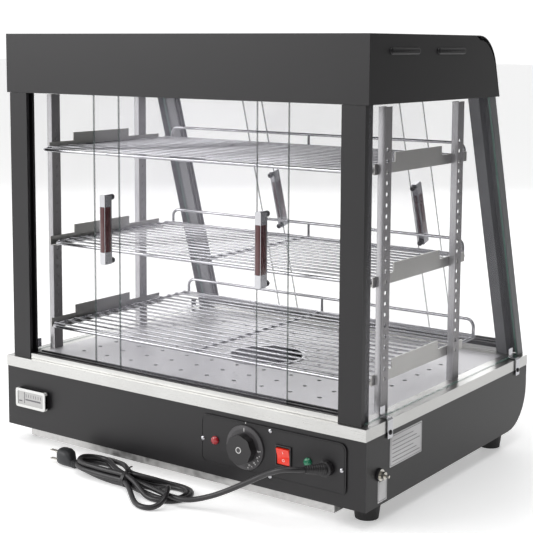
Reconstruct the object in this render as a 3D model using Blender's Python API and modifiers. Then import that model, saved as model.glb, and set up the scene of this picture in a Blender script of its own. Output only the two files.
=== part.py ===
"""Countertop hot food display case: base with controls, glass cabinet with sliding doors, wire shelves and hood.

Units are metres, +Z is up, the customer's side faces -Y. The pieces are measured from the rim's front edge and
the base's underside, and the root empty carries them all to the final frame, whose origin is the middle of the
case's footprint on the counter.
"""

import math

import bmesh
import bpy
from mathutils import Matrix, Vector

# ---------------------------------------------------------------- driving dimensions

GAP = 0.0003                    # clearance between pieces that touch
SHEET = 0.0012                  # folded steel sheet

RIM_HALF = 0.3299               # half the width over the rim
RIM_DEPTH = 0.4952
RIM_LOW = 0.0941
RIM_TOP = 0.1105
DECK_HALF = 0.3000
DECK_FRONT = 0.036
DECK_REAR = 0.464

BASE_HALF = 0.3298
BASE_FRONT = 0.0019
BASE_REAR = 0.4942
BASE_TOP = 0.0938
BASE_HEEL = 0.062               # radius of the lower rear corner
FOOT_HEIGHT = 0.025
FOOT_SPOTS = {"left_front": (-0.303, 0.050), "right_front": (0.303, 0.050),
              "left_rear": (-0.303, 0.422), "right_rear": (0.303, 0.422)}

HOOD_HALF = 0.32425
HOOD_FRONT = 0.0049
HOOD_LOW = 0.5238
HOOD_TOP = 0.6131
HOOD_FLAT_END = 0.311           # where the flat top turns into the rear curve
HOOD_CURVE = 0.057
HOOD_REAR_FOOT = 0.3799
CEILING_LOW = 0.534
CEILING_HALF = 0.312

GLASS = 0.004
DOOR_WIDTH = 0.300
DOOR_LOW = 0.114
DOOR_TOP = 0.530
FRONT_POST = (0.2835, 0.319)    # the front post's face, from the middle of the case
FRONT_CHANNEL = 0.3025          # bottom of the front post's guide channels
FRONT_REAR_RIB = 0.298          # inner edge of the front post's rearmost rib
REAR_POST = (0.286, 0.3222)     # the rear post's face
REAR_CHANNEL = 0.3003           # bottom of the rear post's guide channels
REAR_RETURN = (0.3212, 0.3228)  # the rear post's folded side
SIDE_GLASS = (0.314, 0.318)
FRONT_RIBS = ((0.0085, 0.0115), (0.0186, 0.0226), (0.0297, 0.0327))
FRONT_OUTER_GLASS = 0.015       # middle plane of the outer front door
FRONT_INNER_GLASS = 0.026
TRACK_TOP = 0.119

LEAN = math.atan(0.3027)        # lean of the rear frame from the vertical
LEAN_FOOT = Vector((0, 0.475, 0.1193))
REAR_RIBS = ((-0.0001, 0.0023), (0.0074, 0.0098), (0.0149, 0.0172))
REAR_INNER_GLASS = 0.0049
REAR_OUTER_GLASS = 0.0123
REAR_FACE = 0.0168
REAR_GLASS_LOW = 0.0025
REAR_GLASS_TOP = 0.427
REAR_DOOR_WIDTH = 0.305

HANDLE_HEIGHT = 0.104
HANDLE_WIDTH = 0.010
HANDLE_DEPTH = 0.015
BOLT_PITCH = 0.0947

UPRIGHT_INNER = 0.298
UPRIGHT_OUTER = 0.308
UPRIGHT_TOP = 0.519
UPRIGHT_SPOTS = {"front": (0.0735, 0.0920), "rear": (0.2800, 0.2985)}
PIN_LINE = {"front": 0.0815, "rear": 0.2865}
PIN_HEIGHTS = {"top": 0.4335, "middle": 0.2875, "bottom": 0.1561}
PIN_RADIUS = 0.003
BRACKET_WEB = 0.2962
BRACKET_SHEET = 0.0015
BRACKET_FEET = {"top": 0.430, "middle": 0.2805, "bottom": 0.148}
BRACKET_SPAN = (0.066, 0.330)
BRACKET_MIDDLE = (0.120, 0.252)  # the raised part
BRACKET_LOW, BRACKET_HIGH = 0.014, 0.027
LEDGE_INNER = 0.2830

SHELF_HALF = 0.289
SHELF_ROD = 0.003
SHELF_WIRE = 0.0015
SHELVES = {"top": (0.4345, 0.041, 0.352), "middle": (0.285, 0.065, 0.354), "bottom": (0.1525, 0.057, 0.397)}
RAIL_LIFT = {"top": 0.0195, "middle": 0.024, "bottom": 0.0255}
WIRE_PITCH = 0.0237

PAN_X, PAN_Y = 0.002, 0.240
PAN_RIM = 0.0635
PAN_BOWL = 0.0585
PAN_DEPTH = 0.045

PLATE_LEFT, PLATE_RIGHT = 0.061, 0.301
PLATE_LOW, PLATE_TOP = 0.016, 0.0865
PLATE_FRONT = -0.0005
CONTROL_LINE = 0.0515
DIAL_X = 0.1394
SWITCH_X = 0.203
RED_LAMP_X = 0.087
GREEN_LAMP_X = 0.242
ROCKER_TIP = 10                 # degrees either side of level
GLAND_X, GLAND_Z = 0.272, 0.0495
BOOT_LINE = Vector((-0.567, -0.819, 0.087)).normalized()    # the strain relief leans to the left, where the lead goes
BOOT_LENGTH = 0.028

CORD_RADIUS = 0.00375
COUNTER = -FOOT_HEIGHT          # the counter's surface, from the base's underside

LEFT_REACH = RIM_HALF
RIGHT_REACH = 0.345             # the earth terminal's stud
FRONT_REACH = -0.017            # the knob's face
ORIGIN_X = (RIGHT_REACH - LEFT_REACH) / 2
ORIGIN_Y = (RIM_DEPTH + FRONT_REACH) / 2

SIDES = {"left": -1, "right": 1}

# ---------------------------------------------------------------- scene, materials and basic shapes


def fresh_collections():
    """Empties the scene and returns the collection of parts and the one of cutters."""
    for old in list(bpy.data.objects):
        bpy.data.objects.remove(old, do_unlink=True)
    made = []
    for name in ("hot_food_display_case", "cutters"):
        collection = bpy.data.collections.new(name)
        bpy.context.scene.collection.children.link(collection)
        made.append(collection)
    return made


PARTS, CUTTERS = fresh_collections()
ROOT = bpy.data.objects.new("case_frame", None)
PARTS.objects.link(ROOT)
ROOT.location = (-ORIGIN_X, -ORIGIN_Y, FOOT_HEIGHT)

LEAN_FRAME = bpy.data.objects.new("rear_frame", None)
PARTS.objects.link(LEAN_FRAME)
LEAN_FRAME.parent = ROOT
LEAN_FRAME.location = LEAN_FOOT
LEAN_FRAME.rotation_euler = (LEAN, 0, 0)


def material(name, colour, roughness, metallic=0.0, alpha=1.0):
    """Returns a new Principled material."""
    made = bpy.data.materials.new(name)
    made.use_nodes = True
    shader = made.node_tree.nodes["Principled BSDF"]
    shader.inputs["Base Color"].default_value = (*colour, 1)
    shader.inputs["Roughness"].default_value = roughness
    shader.inputs["Metallic"].default_value = metallic
    shader.inputs["Alpha"].default_value = alpha
    return made


def finish(obj, colour, roughness, metallic=0.0, alpha=1.0):
    """Gives an object its own material."""
    obj.data.materials.clear()
    obj.data.materials.append(material(obj.name + "_finish", colour, roughness, metallic, alpha))
    return obj


def black_paint(obj):
    return finish(obj, (0.020, 0.019, 0.021), 0.35)


def stainless(obj):
    return finish(obj, (0.52, 0.52, 0.51), 0.30, 1.0)


def chrome(obj):
    return finish(obj, (0.72, 0.72, 0.73), 0.12, 1.0)


def black_plastic(obj):
    return finish(obj, (0.012, 0.012, 0.013), 0.45)


def clear_glass(obj):
    return finish(obj, (0.88, 0.90, 0.91), 0.02, 0.0, 0.25)


def add_object(name, mesh, place=(0, 0, 0), parent=None, collection=None):
    """Links a mesh or curve as an object under the root, at a place in its parent's frame."""
    obj = bpy.data.objects.new(name, mesh)
    (collection or PARTS).objects.link(obj)
    obj.parent = parent or ROOT
    obj.location = place
    return obj


def mesh_from(name, bm):
    """Turns a bmesh into a mesh with its faces pointing out."""
    bmesh.ops.recalc_face_normals(bm, faces=bm.faces)
    mesh = bpy.data.meshes.new(name)
    bm.to_mesh(mesh)
    bm.free()
    return mesh


def add_box(bm, low, high):
    """Adds a box between two corners to a bmesh."""
    low, high = Vector(low), Vector(high)
    size = high - low
    matrix = Matrix.Translation((low + high) / 2) @ Matrix.Diagonal((*size, 1))
    bmesh.ops.create_cube(bm, size=1, matrix=matrix)


def add_cylinder(bm, centre, axis, radius, length, sides=16, tip=None):
    """Adds a cylinder, or a cone with a tip radius, centred at a point along an axis."""
    turn = Vector((0, 0, 1)).rotation_difference(Vector(axis)).to_matrix().to_4x4()
    bmesh.ops.create_cone(bm, cap_ends=True, segments=sides, radius1=radius,
                          radius2=radius if tip is None else tip, depth=length,
                          matrix=Matrix.Translation(centre) @ turn)


def boxes(name, corners, place=(0, 0, 0), parent=None, collection=None):
    """Makes one object of boxes that stand apart, or a single box."""
    bm = bmesh.new()
    for low, high in corners:
        add_box(bm, low, high)
    return add_object(name, mesh_from(name, bm), place, parent, collection)


def arc(centre, radius, start, end, steps):
    """Points of an arc in a plane, from one angle in degrees to another."""
    turns = [math.radians(start + (end - start) * i / steps) for i in range(steps + 1)]
    return [(centre[0] + radius * math.cos(t), centre[1] + radius * math.sin(t)) for t in turns]


def rounded_rectangle(low, high, radius, steps=4):
    """The outline of a rectangle with rounded corners, anticlockwise."""
    (x0, y0), (x1, y1) = low, high
    return (arc((x1 - radius, y0 + radius), radius, -90, 0, steps)
            + arc((x1 - radius, y1 - radius), radius, 0, 90, steps)
            + arc((x0 + radius, y1 - radius), radius, 90, 180, steps)
            + arc((x0 + radius, y0 + radius), radius, 180, 270, steps))


def circle(centre, radius, steps, start=0.0):
    """The outline of a regular polygon or a circle."""
    return arc(centre, radius, start, start + 360, steps)[:-1]


AXIS_TURN = {"X": (math.radians(90), 0, math.radians(90)), "Y": (math.radians(90), 0, 0), "Z": (0, 0, 0)}


def extruded(name, outlines, axis, low, high, parent=None, collection=None):
    """Extrudes flat outlines between two stations along an axis, with inner outlines left as holes.

    An outline along X is given in (y, z), along Y in (x, z) and along Z in (x, y).
    """
    curve = bpy.data.curves.new(name + "_outline", "CURVE")
    curve.dimensions = "2D"
    curve.fill_mode = "BOTH"
    curve.extrude = (high - low) / 2
    for outline in outlines:
        spline = curve.splines.new("POLY")
        spline.points.add(len(outline) - 1)
        spline.points.foreach_set("co", [v for x, y in outline for v in (x, y, 0, 1)])
        spline.use_cyclic_u = True
    middle = (low + high) / 2
    place = {"X": (middle, 0, 0), "Y": (0, middle, 0), "Z": (0, 0, middle)}[axis]
    flat = add_object(name + "_flat", curve, place, parent, collection)
    flat.rotation_euler = AXIS_TURN[axis]
    return as_mesh(flat, name, collection)


def as_mesh(source, name, collection=None):
    """Replaces a curve object by a welded mesh object in the same place."""
    bpy.context.view_layer.update()
    graph = bpy.context.evaluated_depsgraph_get()
    mesh = bpy.data.meshes.new_from_object(source.evaluated_get(graph))
    mesh.name = name
    bm = bmesh.new()
    bm.from_mesh(mesh)
    bmesh.ops.remove_doubles(bm, verts=bm.verts, dist=0.00001)
    bmesh.ops.recalc_face_normals(bm, faces=bm.faces)
    bm.to_mesh(mesh)
    bm.free()
    made = bpy.data.objects.new(name, mesh)
    (collection or PARTS).objects.link(made)
    made.parent = source.parent
    made.matrix_world = source.matrix_world
    bpy.data.objects.remove(source, do_unlink=True)
    return made


def tube(name, points, radius, closed=False, sides_level=2, parent=None, collection=None):
    """A round bar along points, as a welded mesh."""
    curve = bpy.data.curves.new(name + "_line", "CURVE")
    curve.dimensions = "3D"
    curve.bevel_depth = radius
    curve.bevel_resolution = sides_level
    curve.use_fill_caps = not closed
    spline = curve.splines.new("POLY")
    spline.points.add(len(points) - 1)
    spline.points.foreach_set("co", [v for p in points for v in (*p, 1)])
    spline.use_cyclic_u = closed
    line = add_object(name + "_path", curve, (0, 0, 0), parent, collection)
    return as_mesh(line, name, collection)


def turned(name, profile, place, axis="Z", steps=24, parent=None, collection=None):
    """Turns an open profile of (radius, height) pairs, listed top to bottom, about an axis."""
    bm = bmesh.new()
    points = [bm.verts.new((radius, 0, height)) for radius, height in profile]
    for a, b in zip(points, points[1:]):
        bm.edges.new((a, b))
    mesh = bpy.data.meshes.new(name)
    bm.to_mesh(mesh)
    bm.free()
    obj = add_object(name, mesh, place, parent, collection)
    if axis == "Y":
        obj.rotation_euler = (math.radians(90), 0, 0)
    if axis == "X":
        obj.rotation_euler = (0, math.radians(90), 0)
    screw = obj.modifiers.new("turn", "SCREW")
    screw.steps = steps
    screw.render_steps = steps
    screw.use_merge_vertices = True
    screw.merge_threshold = 0.00005
    return obj


def apply_boolean(obj, tool, operation, solver="EXACT"):
    """Joins or cuts an object with a tool, which is then removed."""
    modifier = obj.modifiers.new(operation.lower(), "BOOLEAN")
    modifier.operation = operation
    modifier.solver = solver
    modifier.object = tool
    bpy.context.view_layer.update()
    graph = bpy.context.evaluated_depsgraph_get()
    mesh = bpy.data.meshes.new_from_object(obj.evaluated_get(graph))
    obj.modifiers.clear()
    obj.data = mesh
    mesh.name = obj.name
    bpy.data.objects.remove(tool, do_unlink=True)
    return obj


def joined(obj, tool):
    return apply_boolean(obj, tool, "UNION")


def cut(obj, tool, solver="EXACT"):
    return apply_boolean(obj, tool, "DIFFERENCE", solver)


def kept_inside(obj, tool):
    return apply_boolean(obj, tool, "INTERSECT")


def cutter_boxes(corners, parent=None):
    return boxes("box_cutter", corners, parent=parent, collection=CUTTERS)


def smooth(obj, angle=35):
    """Shades a round piece smooth, with its true edges kept sharp."""
    obj.data.shade_smooth()
    obj.data.set_sharp_from_angle(angle=math.radians(angle))
    return obj


def mirrored(points, sign):
    """An outline's first coordinate turned to the left or the right side, kept anticlockwise."""
    turned_points = [(sign * x, y) for x, y in points]
    return turned_points if sign > 0 else turned_points[::-1]


# ---------------------------------------------------------------- base


def base_profile(inset):
    """The base's side outline in (y, z), open at the top when it is inset."""
    low, front, rear = inset, BASE_FRONT + inset, BASE_REAR - inset
    top = BASE_TOP + (0.01 if inset else 0)
    radius = BASE_HEEL - inset
    heel = arc((rear - radius, low + radius), radius, -90, 0, 8)
    return [(front, low)] + heel + [(rear, top), (front, top)]


def control_holes(margin=0.0004):
    """A tool that opens the front for the switch, the lamps, the dial's shaft and the gland."""
    bm = bmesh.new()
    add_box(bm, (SWITCH_X - 0.0114 - margin, -0.01, CONTROL_LINE - 0.0134 - margin),
            (SWITCH_X + 0.0114 + margin, 0.01, CONTROL_LINE + 0.0134 + margin))
    for x, z, radius in ((RED_LAMP_X, CONTROL_LINE, 0.0045), (GREEN_LAMP_X, CONTROL_LINE, 0.0045),
                         (DIAL_X, CONTROL_LINE, 0.004), (GLAND_X, GLAND_Z, 0.0065)):
        add_cylinder(bm, (x, 0, z), (0, 1, 0), radius + margin, 0.02)
    return add_object("control_cutter", mesh_from("control_cutter", bm), collection=CUTTERS)


def make_base():
    body = extruded("base_body", [base_profile(0)], "X", -BASE_HALF, BASE_HALF)
    inner = extruded("base_cutter", [base_profile(SHEET)], "X", -BASE_HALF + SHEET, BASE_HALF - SHEET,
                     collection=CUTTERS)
    cut(body, inner)
    black_paint(cut(body, control_holes()))

    pan = boxes("bottom_pan", [((-0.281, 0.004, -0.011), (0.281, 0.400, -GAP))])
    finish(cut(pan, cutter_boxes([((-0.280, 0.005, -0.010), (0.280, 0.399, 0.01))])),
           (0.45, 0.45, 0.44), 0.40, 1.0)

    for name, (x, y) in FOOT_SPOTS.items():
        profile = [(0, -GAP), (0.0185, -GAP), (0.0185, -0.006), (0.016, COUNTER), (0, COUNTER)]
        foot = turned("foot_" + name, profile, (x, y, 0))
        finish(smooth(foot), (0.015, 0.015, 0.015), 0.7)


def make_deck():
    rim = boxes("deck_rim", [((-RIM_HALF, 0, RIM_LOW), (RIM_HALF, RIM_DEPTH, RIM_TOP))])
    edge = 0.0012
    cut(rim, cutter_boxes([((-RIM_HALF + edge, edge, 0.08), (RIM_HALF - edge, RIM_DEPTH - edge, RIM_TOP - edge))]))
    stainless(cut(rim, cutter_boxes([((-DECK_HALF - GAP, DECK_FRONT, 0.10), (DECK_HALF + GAP, DECK_REAR, 0.12))])))

    outlines = [rounded_rectangle((-DECK_HALF, DECK_FRONT + GAP), (DECK_HALF, DECK_REAR - GAP), 0.0005, 1)]
    outlines.append(circle((PAN_X, PAN_Y), PAN_BOWL + 0.001, 32))
    for column in range(-5, 6):
        for row in range(9):
            x, y = 0.050 * column, 0.091 + 0.0377 * row
            if math.hypot(x - PAN_X, y - PAN_Y) > PAN_RIM + 0.006:
                outlines.append(circle((x, y), 0.004, 6))
    deck = extruded("perforated_deck", outlines, "Z", RIM_TOP - 0.0015, RIM_TOP)
    stainless(deck)

    lip = RIM_TOP + GAP
    wall = 0.0008
    profile = [(0, lip - PAN_DEPTH + wall), (PAN_BOWL - 0.008, lip - PAN_DEPTH + wall),
               (PAN_BOWL - wall, lip - PAN_DEPTH + 0.009), (PAN_BOWL - wall, lip + 0.0018),
               (PAN_RIM - 0.001, lip + 0.0018), (PAN_RIM - 0.0005, lip + 0.0006), (PAN_RIM, lip),
               (PAN_BOWL, lip), (PAN_BOWL, lip - PAN_DEPTH + 0.0086),
               (PAN_BOWL - 0.0078, lip - PAN_DEPTH), (0, lip - PAN_DEPTH)]
    pan = turned("water_pan", profile, (PAN_X, PAN_Y, 0), steps=32)
    chrome(smooth(pan))


def make_internals():
    line = [(-0.19, 0.09), (0.19, 0.09), (0.215, 0.115), (0.215, 0.365), (0.19, 0.39), (-0.19, 0.39),
            (-0.215, 0.365), (-0.215, 0.20)]
    heater = tube("heating_element", [(x, y, 0.038) for x, y in line], 0.004)
    finish(smooth(heater), (0.10, 0.09, 0.085), 0.5, 1.0)

    bm = bmesh.new()
    add_box(bm, (DIAL_X - 0.021, 0.004, CONTROL_LINE - 0.017), (DIAL_X + 0.021, 0.044, CONTROL_LINE + 0.017))
    stock = add_object("thermostat_body", mesh_from("thermostat_body", bm))
    shaft = bmesh.new()
    add_cylinder(shaft, (DIAL_X, 0.0035, CONTROL_LINE), (0, 1, 0), 0.003, 0.013, 12)
    black_plastic(joined(stock, add_object("shaft", mesh_from("shaft", shaft), collection=CUTTERS)))

    block = boxes("terminal_block", [((0.225, 0.060, SHEET + GAP), (0.285, 0.082, 0.022))])
    finish(block, (0.62, 0.60, 0.55), 0.5)


# ---------------------------------------------------------------- controls


def make_control_plate():
    outline = rounded_rectangle((PLATE_LEFT, PLATE_LOW), (PLATE_RIGHT, PLATE_TOP), 0.010, 4)
    plate = extruded("control_plate", [outline], "Y", PLATE_FRONT, BASE_FRONT - GAP)
    black_paint(cut(plate, control_holes()))


def make_dial():
    """The dial's skirt and grip turn together about the thermostat's shaft."""
    axis = (DIAL_X, 0, CONTROL_LINE)
    skirt_profile = [(0.0035, 0.0044), (0.026, 0.0044), (0.031, 0.0030), (0.0315, 0.0009), (0.0035, 0.0009)]
    skirt = turned("dial_skirt", skirt_profile + skirt_profile[:1], axis, "Y", 32)
    black_plastic(smooth(skirt))

    lobes, points = 8, 48
    outline = []
    for i in range(points):
        turn = 2 * math.pi * i / points
        radius = 0.0203 + 0.0007 * math.cos(lobes * turn)
        outline.append((radius * math.cos(turn), radius * math.sin(turn)))
    grip = extruded("thermostat_knob", [outline], "Y", FRONT_REACH, -0.0047)
    grip.location = (DIAL_X, grip.location.y, CONTROL_LINE)
    bore = bmesh.new()
    add_cylinder(bore, (DIAL_X, -0.004, CONTROL_LINE), (0, 1, 0), 0.0034, 0.008, 12)
    black_plastic(cut(grip, add_object("bore_cutter", mesh_from("bore_cutter", bore), collection=CUTTERS)))


def make_switch():
    """The switch's hollow body with its bezel, and the rocker that tips in it."""
    x, z = SWITCH_X, CONTROL_LINE
    body = boxes("switch_body", [((x - 0.0114, -0.0008, z - 0.0134), (x + 0.0114, 0.024, z + 0.0134))])
    bezel = boxes("bezel", [((x - 0.0125, -0.0028, z - 0.0145), (x + 0.0125, PLATE_FRONT - GAP, z + 0.0145))],
                  collection=CUTTERS)
    joined(body, bezel)
    black_plastic(cut(body, cutter_boxes([((x - 0.0106, -0.01, z - 0.0127), (x + 0.0106, 0.012, z + 0.0127))])))

    front = [(-0.0040, -0.0113), (-0.0028, 0.0), (-0.0040, 0.0113)]
    back = [(0.0010, 0.0105), (0.0055, 0.0045), (0.0055, -0.0045), (0.0010, -0.0105)]
    rocker = extruded("power_rocker", [front + back], "X", -0.0102, 0.0102)
    rocker.location = (x, 0.0010, z)
    rocker.rotation_euler = (math.radians(90), math.radians(-ROCKER_TIP), math.radians(90))
    finish(rocker, (0.62, 0.025, 0.012), 0.25)


def make_lamps():
    for name, x, colour in (("red_lamp", RED_LAMP_X, (0.32, 0.01, 0.01)),
                            ("green_lamp", GREEN_LAMP_X, (0.005, 0.13, 0.06))):
        profile = [(0, 0.0055), (0.003, 0.0052), (0.005, 0.0040), (0.006, 0.0022), (0.006, 0.0008),
                   (0.0045, 0.0008), (0.0045, -0.016), (0, -0.016)]
        lamp = turned(name, profile, (x, 0, CONTROL_LINE), "Y", 20)
        finish(smooth(lamp), colour, 0.15)


def make_gland():
    """The gland's nut and its tapered strain relief, which leans towards the left, where the lead goes."""
    bm = bmesh.new()
    add_cylinder(bm, (GLAND_X, 0.0054, GLAND_Z), (0, 1, 0), 0.006, 0.0260, 16)
    barrel = add_object("cord_gland", mesh_from("cord_gland", bm))
    nut = bmesh.new()
    add_cylinder(nut, (GLAND_X, -0.0048, GLAND_Z), (0, 1, 0), 0.0105, 0.0080, 8)
    joined(barrel, add_object("nut", mesh_from("nut", nut), collection=CUTTERS))
    boot = bmesh.new()
    foot = Vector((GLAND_X, -0.0065, GLAND_Z))
    middle = foot + BOOT_LINE * BOOT_LENGTH / 2
    add_cylinder(boot, middle, -BOOT_LINE, 0.0048, BOOT_LENGTH, 16, tip=0.0078)
    black_plastic(joined(barrel, add_object("boot", mesh_from("boot", boot), collection=CUTTERS)))


def make_front_fittings():
    meter = extruded("thermometer", [rounded_rectangle((-0.3035, 0.0345), (-0.240, 0.064), 0.004, 3)], "Y",
                     -0.006, BASE_FRONT - GAP)
    black_plastic(meter)

    profile = [(0, 0.0149), (0.002, 0.0149), (0.002, 0.009), (0.0052, 0.009), (0.0052, 0.0034),
               (0.0080, 0.0034), (0.0080, GAP), (0, GAP)]
    terminal = turned("earth_terminal", profile, (RIGHT_REACH - 0.0149, 0.035, 0.0425), "X", 12)
    finish(terminal, (0.55, 0.55, 0.55), 0.3, 1.0)


# ---------------------------------------------------------------- cabinet frame


def leaning(height, offset):
    """A point (y, z) of the leaning rear frame, by its distance up the frame and out of it."""
    return (LEAN_FOOT.y - height * math.sin(LEAN) + offset * math.cos(LEAN),
            LEAN_FOOT.z + height * math.cos(LEAN) + offset * math.sin(LEAN))


def leaning_at(level, offset):
    """The same, by the world height that the line at an offset crosses."""
    return leaning((level - LEAN_FOOT.z - offset * math.sin(LEAN)) / math.cos(LEAN), offset)


def comb(ribs, base_low, base_high, rib_top):
    """The outline of a base strip with upright ribs, in (across, up), anticlockwise."""
    left, right = ribs[0][0], ribs[-1][1]
    outline = [(left, base_low), (right, base_low)]
    for i, (a, b) in enumerate(reversed(ribs)):
        outline += [(b, rib_top), (a, rib_top)]
        if i < len(ribs) - 1:
            outline.append((a, base_high))
            outline.append((ribs[len(ribs) - 2 - i][1], base_high))
    return outline


def make_front_tracks():
    reach = FRONT_POST[0] - 0.0005
    low, top, front, rear = RIM_TOP + GAP, 0.1184, 0.0072, 0.0340
    wall = 0.0010
    channel = [(front, low), (rear, low), (rear, top), (rear - wall, top), (rear - wall, low + wall),
               (front + wall, low + wall), (front + wall, top), (front, top)]
    stainless(extruded("front_sill", [channel], "X", -reach, reach))
    track = extruded("front_door_track", [comb(FRONT_RIBS, 0.1121, 0.1133, TRACK_TOP)], "X", -reach, reach)
    black_plastic(track)


def make_rear_tracks():
    reach = REAR_POST[0] - 0.0005
    wall = 0.0010
    top_front = leaning(-GAP, REAR_RIBS[0][0])
    top_rear = leaning(-GAP, REAR_RIBS[-1][1])
    low = RIM_TOP + GAP
    outer = [(top_front[0], low), top_front, top_rear, (top_rear[0], low)]
    inner = [(top_rear[0] - wall, low), leaning(-GAP - wall, REAR_RIBS[-1][1] - wall),
             leaning(-GAP - wall, REAR_RIBS[0][0] + wall), (top_front[0] + wall, low)]
    stainless(extruded("rear_sill", [outer + inner], "X", -reach, reach))
    outline = [leaning(up, across) for across, up in comb(REAR_RIBS, 0, SHEET, 0.0070)]
    black_plastic(extruded("rear_door_track", [outline], "X", -reach, reach))


def make_front_post(side, sign):
    """A front post: a hollow section with a face, a rebate for the side glass and channels for the two doors."""
    inner, outer = FRONT_POST
    (_, first), (second, third), (fourth, _) = FRONT_RIBS
    front, rear, rebate = 0.006, 0.033, 0.0137
    side_wall = SIDE_GLASS[0] - GAP
    outline = [(inner, front), (outer, front), (outer, rebate), (side_wall, rebate), (side_wall, rear),
               (FRONT_REAR_RIB, rear), (FRONT_REAR_RIB, fourth), (FRONT_CHANNEL, fourth), (FRONT_CHANNEL, third),
               (inner, third), (inner, second), (FRONT_CHANNEL, second), (FRONT_CHANNEL, first), (inner, first)]
    low, high = FRONT_CHANNEL + SHEET, side_wall - SHEET
    hollow = [(low, front + SHEET), (high, front + SHEET), (high, rear - SHEET), (low, rear - SHEET)]
    post = extruded("front_post_" + side, [mirrored(outline, sign), mirrored(hollow, sign)], "Z", RIM_TOP + GAP,
                    HOOD_LOW - GAP)
    black_paint(post)


def make_rear_post(side, sign):
    """A rear post: the leaning face, its folded side and the channels for the two doors."""
    low, high = RIM_TOP + 0.0005, HOOD_LOW - GAP
    edge = REAR_FACE - 0.0002
    side_outline = [leaning_at(low, 0), leaning_at(low, edge), leaning_at(high, edge), leaning_at(high, 0)]
    near, far = sorted((sign * REAR_RETURN[0], sign * REAR_RETURN[1]))
    post = extruded("rear_post_" + side, [side_outline], "X", near, far)
    inner, outer = REAR_POST
    wall = REAR_CHANNEL + 0.003
    face = REAR_FACE - SHEET
    ribs = REAR_RIBS
    outline = [(outer, face), (outer, REAR_FACE), (inner, REAR_FACE), (inner, ribs[2][0]),
               (REAR_CHANNEL, ribs[2][0]), (REAR_CHANNEL, ribs[1][1]), (inner, ribs[1][1]), (inner, ribs[1][0]),
               (REAR_CHANNEL, ribs[1][0]), (REAR_CHANNEL, ribs[0][1]), (inner, ribs[0][1]), (inner, ribs[0][0]),
               (wall, ribs[0][0]), (wall, face)]
    channel = extruded("channel", [mirrored(outline, sign)], "Z", -0.03, 0.45, parent=LEAN_FRAME,
                       collection=CUTTERS)
    kept_inside(channel, cutter_boxes([((-0.4, 0.2, low), (0.4, 0.6, high))]))
    black_paint(joined(post, channel))


def make_upright(side, sign, end):
    """A shelf upright: a channel open to the rear, with the holes that its brackets hang in."""
    front, rear = UPRIGHT_SPOTS[end]
    inner, outer = UPRIGHT_INNER, UPRIGHT_OUTER
    outline = [(inner, front), (outer, front), (outer, rear), (outer - SHEET, rear), (outer - SHEET, front + SHEET),
               (inner + SHEET, front + SHEET), (inner + SHEET, rear), (inner, rear)]
    upright = extruded("upright_{}_{}".format(side, end), [mirrored(outline, sign)], "Z", RIM_TOP + GAP,
                       UPRIGHT_TOP)
    bm = bmesh.new()
    for height in PIN_HEIGHTS.values():
        add_cylinder(bm, (sign * (inner + outer) / 2, PIN_LINE[end], height), (1, 0, 0), PIN_RADIUS + 0.0007,
                     0.014, 8)
    stainless(cut(upright, add_object("holes", mesh_from("holes", bm), collection=CUTTERS)))


def make_bracket(side, sign, level):
    """A shelf bracket: a web with a raised middle, a ledge under the shelf and two pins."""
    foot = BRACKET_FEET[level]
    low, high = BRACKET_SPAN
    start, end = BRACKET_MIDDLE
    step, top = foot + BRACKET_LOW, foot + BRACKET_HIGH
    outline = [(low, foot), (high, foot), (high, step), (end, step), (end, top), (start, top), (start, step),
               (low, step)]
    near, far = sorted((sign * BRACKET_WEB, sign * (BRACKET_WEB + BRACKET_SHEET)))
    bracket = extruded("bracket_{}_{}".format(side, level), [outline], "X", near, far)
    near, far = sorted((sign * LEDGE_INNER, sign * (BRACKET_WEB + BRACKET_SHEET / 2)))
    ledge = boxes("ledge", [((near, low + 0.004, foot), (far, high - 0.004, foot + SHEET))], collection=CUTTERS)
    joined(bracket, ledge)
    bm = bmesh.new()
    for line in PIN_LINE.values():
        add_cylinder(bm, (sign * (BRACKET_WEB + 0.003), line, PIN_HEIGHTS[level]), (1, 0, 0), PIN_RADIUS, 0.0052, 8)
    stainless(joined(bracket, add_object("pins", mesh_from("pins", bm), collection=CUTTERS)))


def make_cabinet_frame():
    make_front_tracks()
    make_rear_tracks()
    for side, sign in SIDES.items():
        make_front_post(side, sign)
        make_rear_post(side, sign)
        near, far = sorted((sign * SIDE_GLASS[0], sign * SIDE_GLASS[1]))
        low, high, front, rear = RIM_TOP + 0.0005, DOOR_TOP, 0.0145, 0.008
        outline = [(front, low), leaning_at(low, rear), leaning_at(high, rear), (front, high)]
        clear_glass(extruded("side_glass_" + side, [outline], "X", near, far))
        for end in UPRIGHT_SPOTS:
            make_upright(side, sign, end)
        for level in BRACKET_FEET:
            make_bracket(side, sign, level)


# ---------------------------------------------------------------- hood


def hood_outline(inset, drop=0.0):
    """The hood's side outline in (y, z); the drop lowers the rear curve of the end plates."""
    front, low, top = HOOD_FRONT + inset, HOOD_LOW, HOOD_TOP - inset
    radius = HOOD_CURVE - inset
    centre = (HOOD_FLAT_END, HOOD_TOP - HOOD_CURVE - drop)
    curve = arc(centre, radius, 90, math.degrees(LEAN), 8)
    slope = math.tan(LEAN)
    end = curve[-1]
    foot = (end[0] + (end[1] - low) * slope, low)
    start = [(front, top), (centre[0] - drop * 2, top)] if drop else [(front, top)]
    return [(front, low)] + start + curve + [foot]


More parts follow.
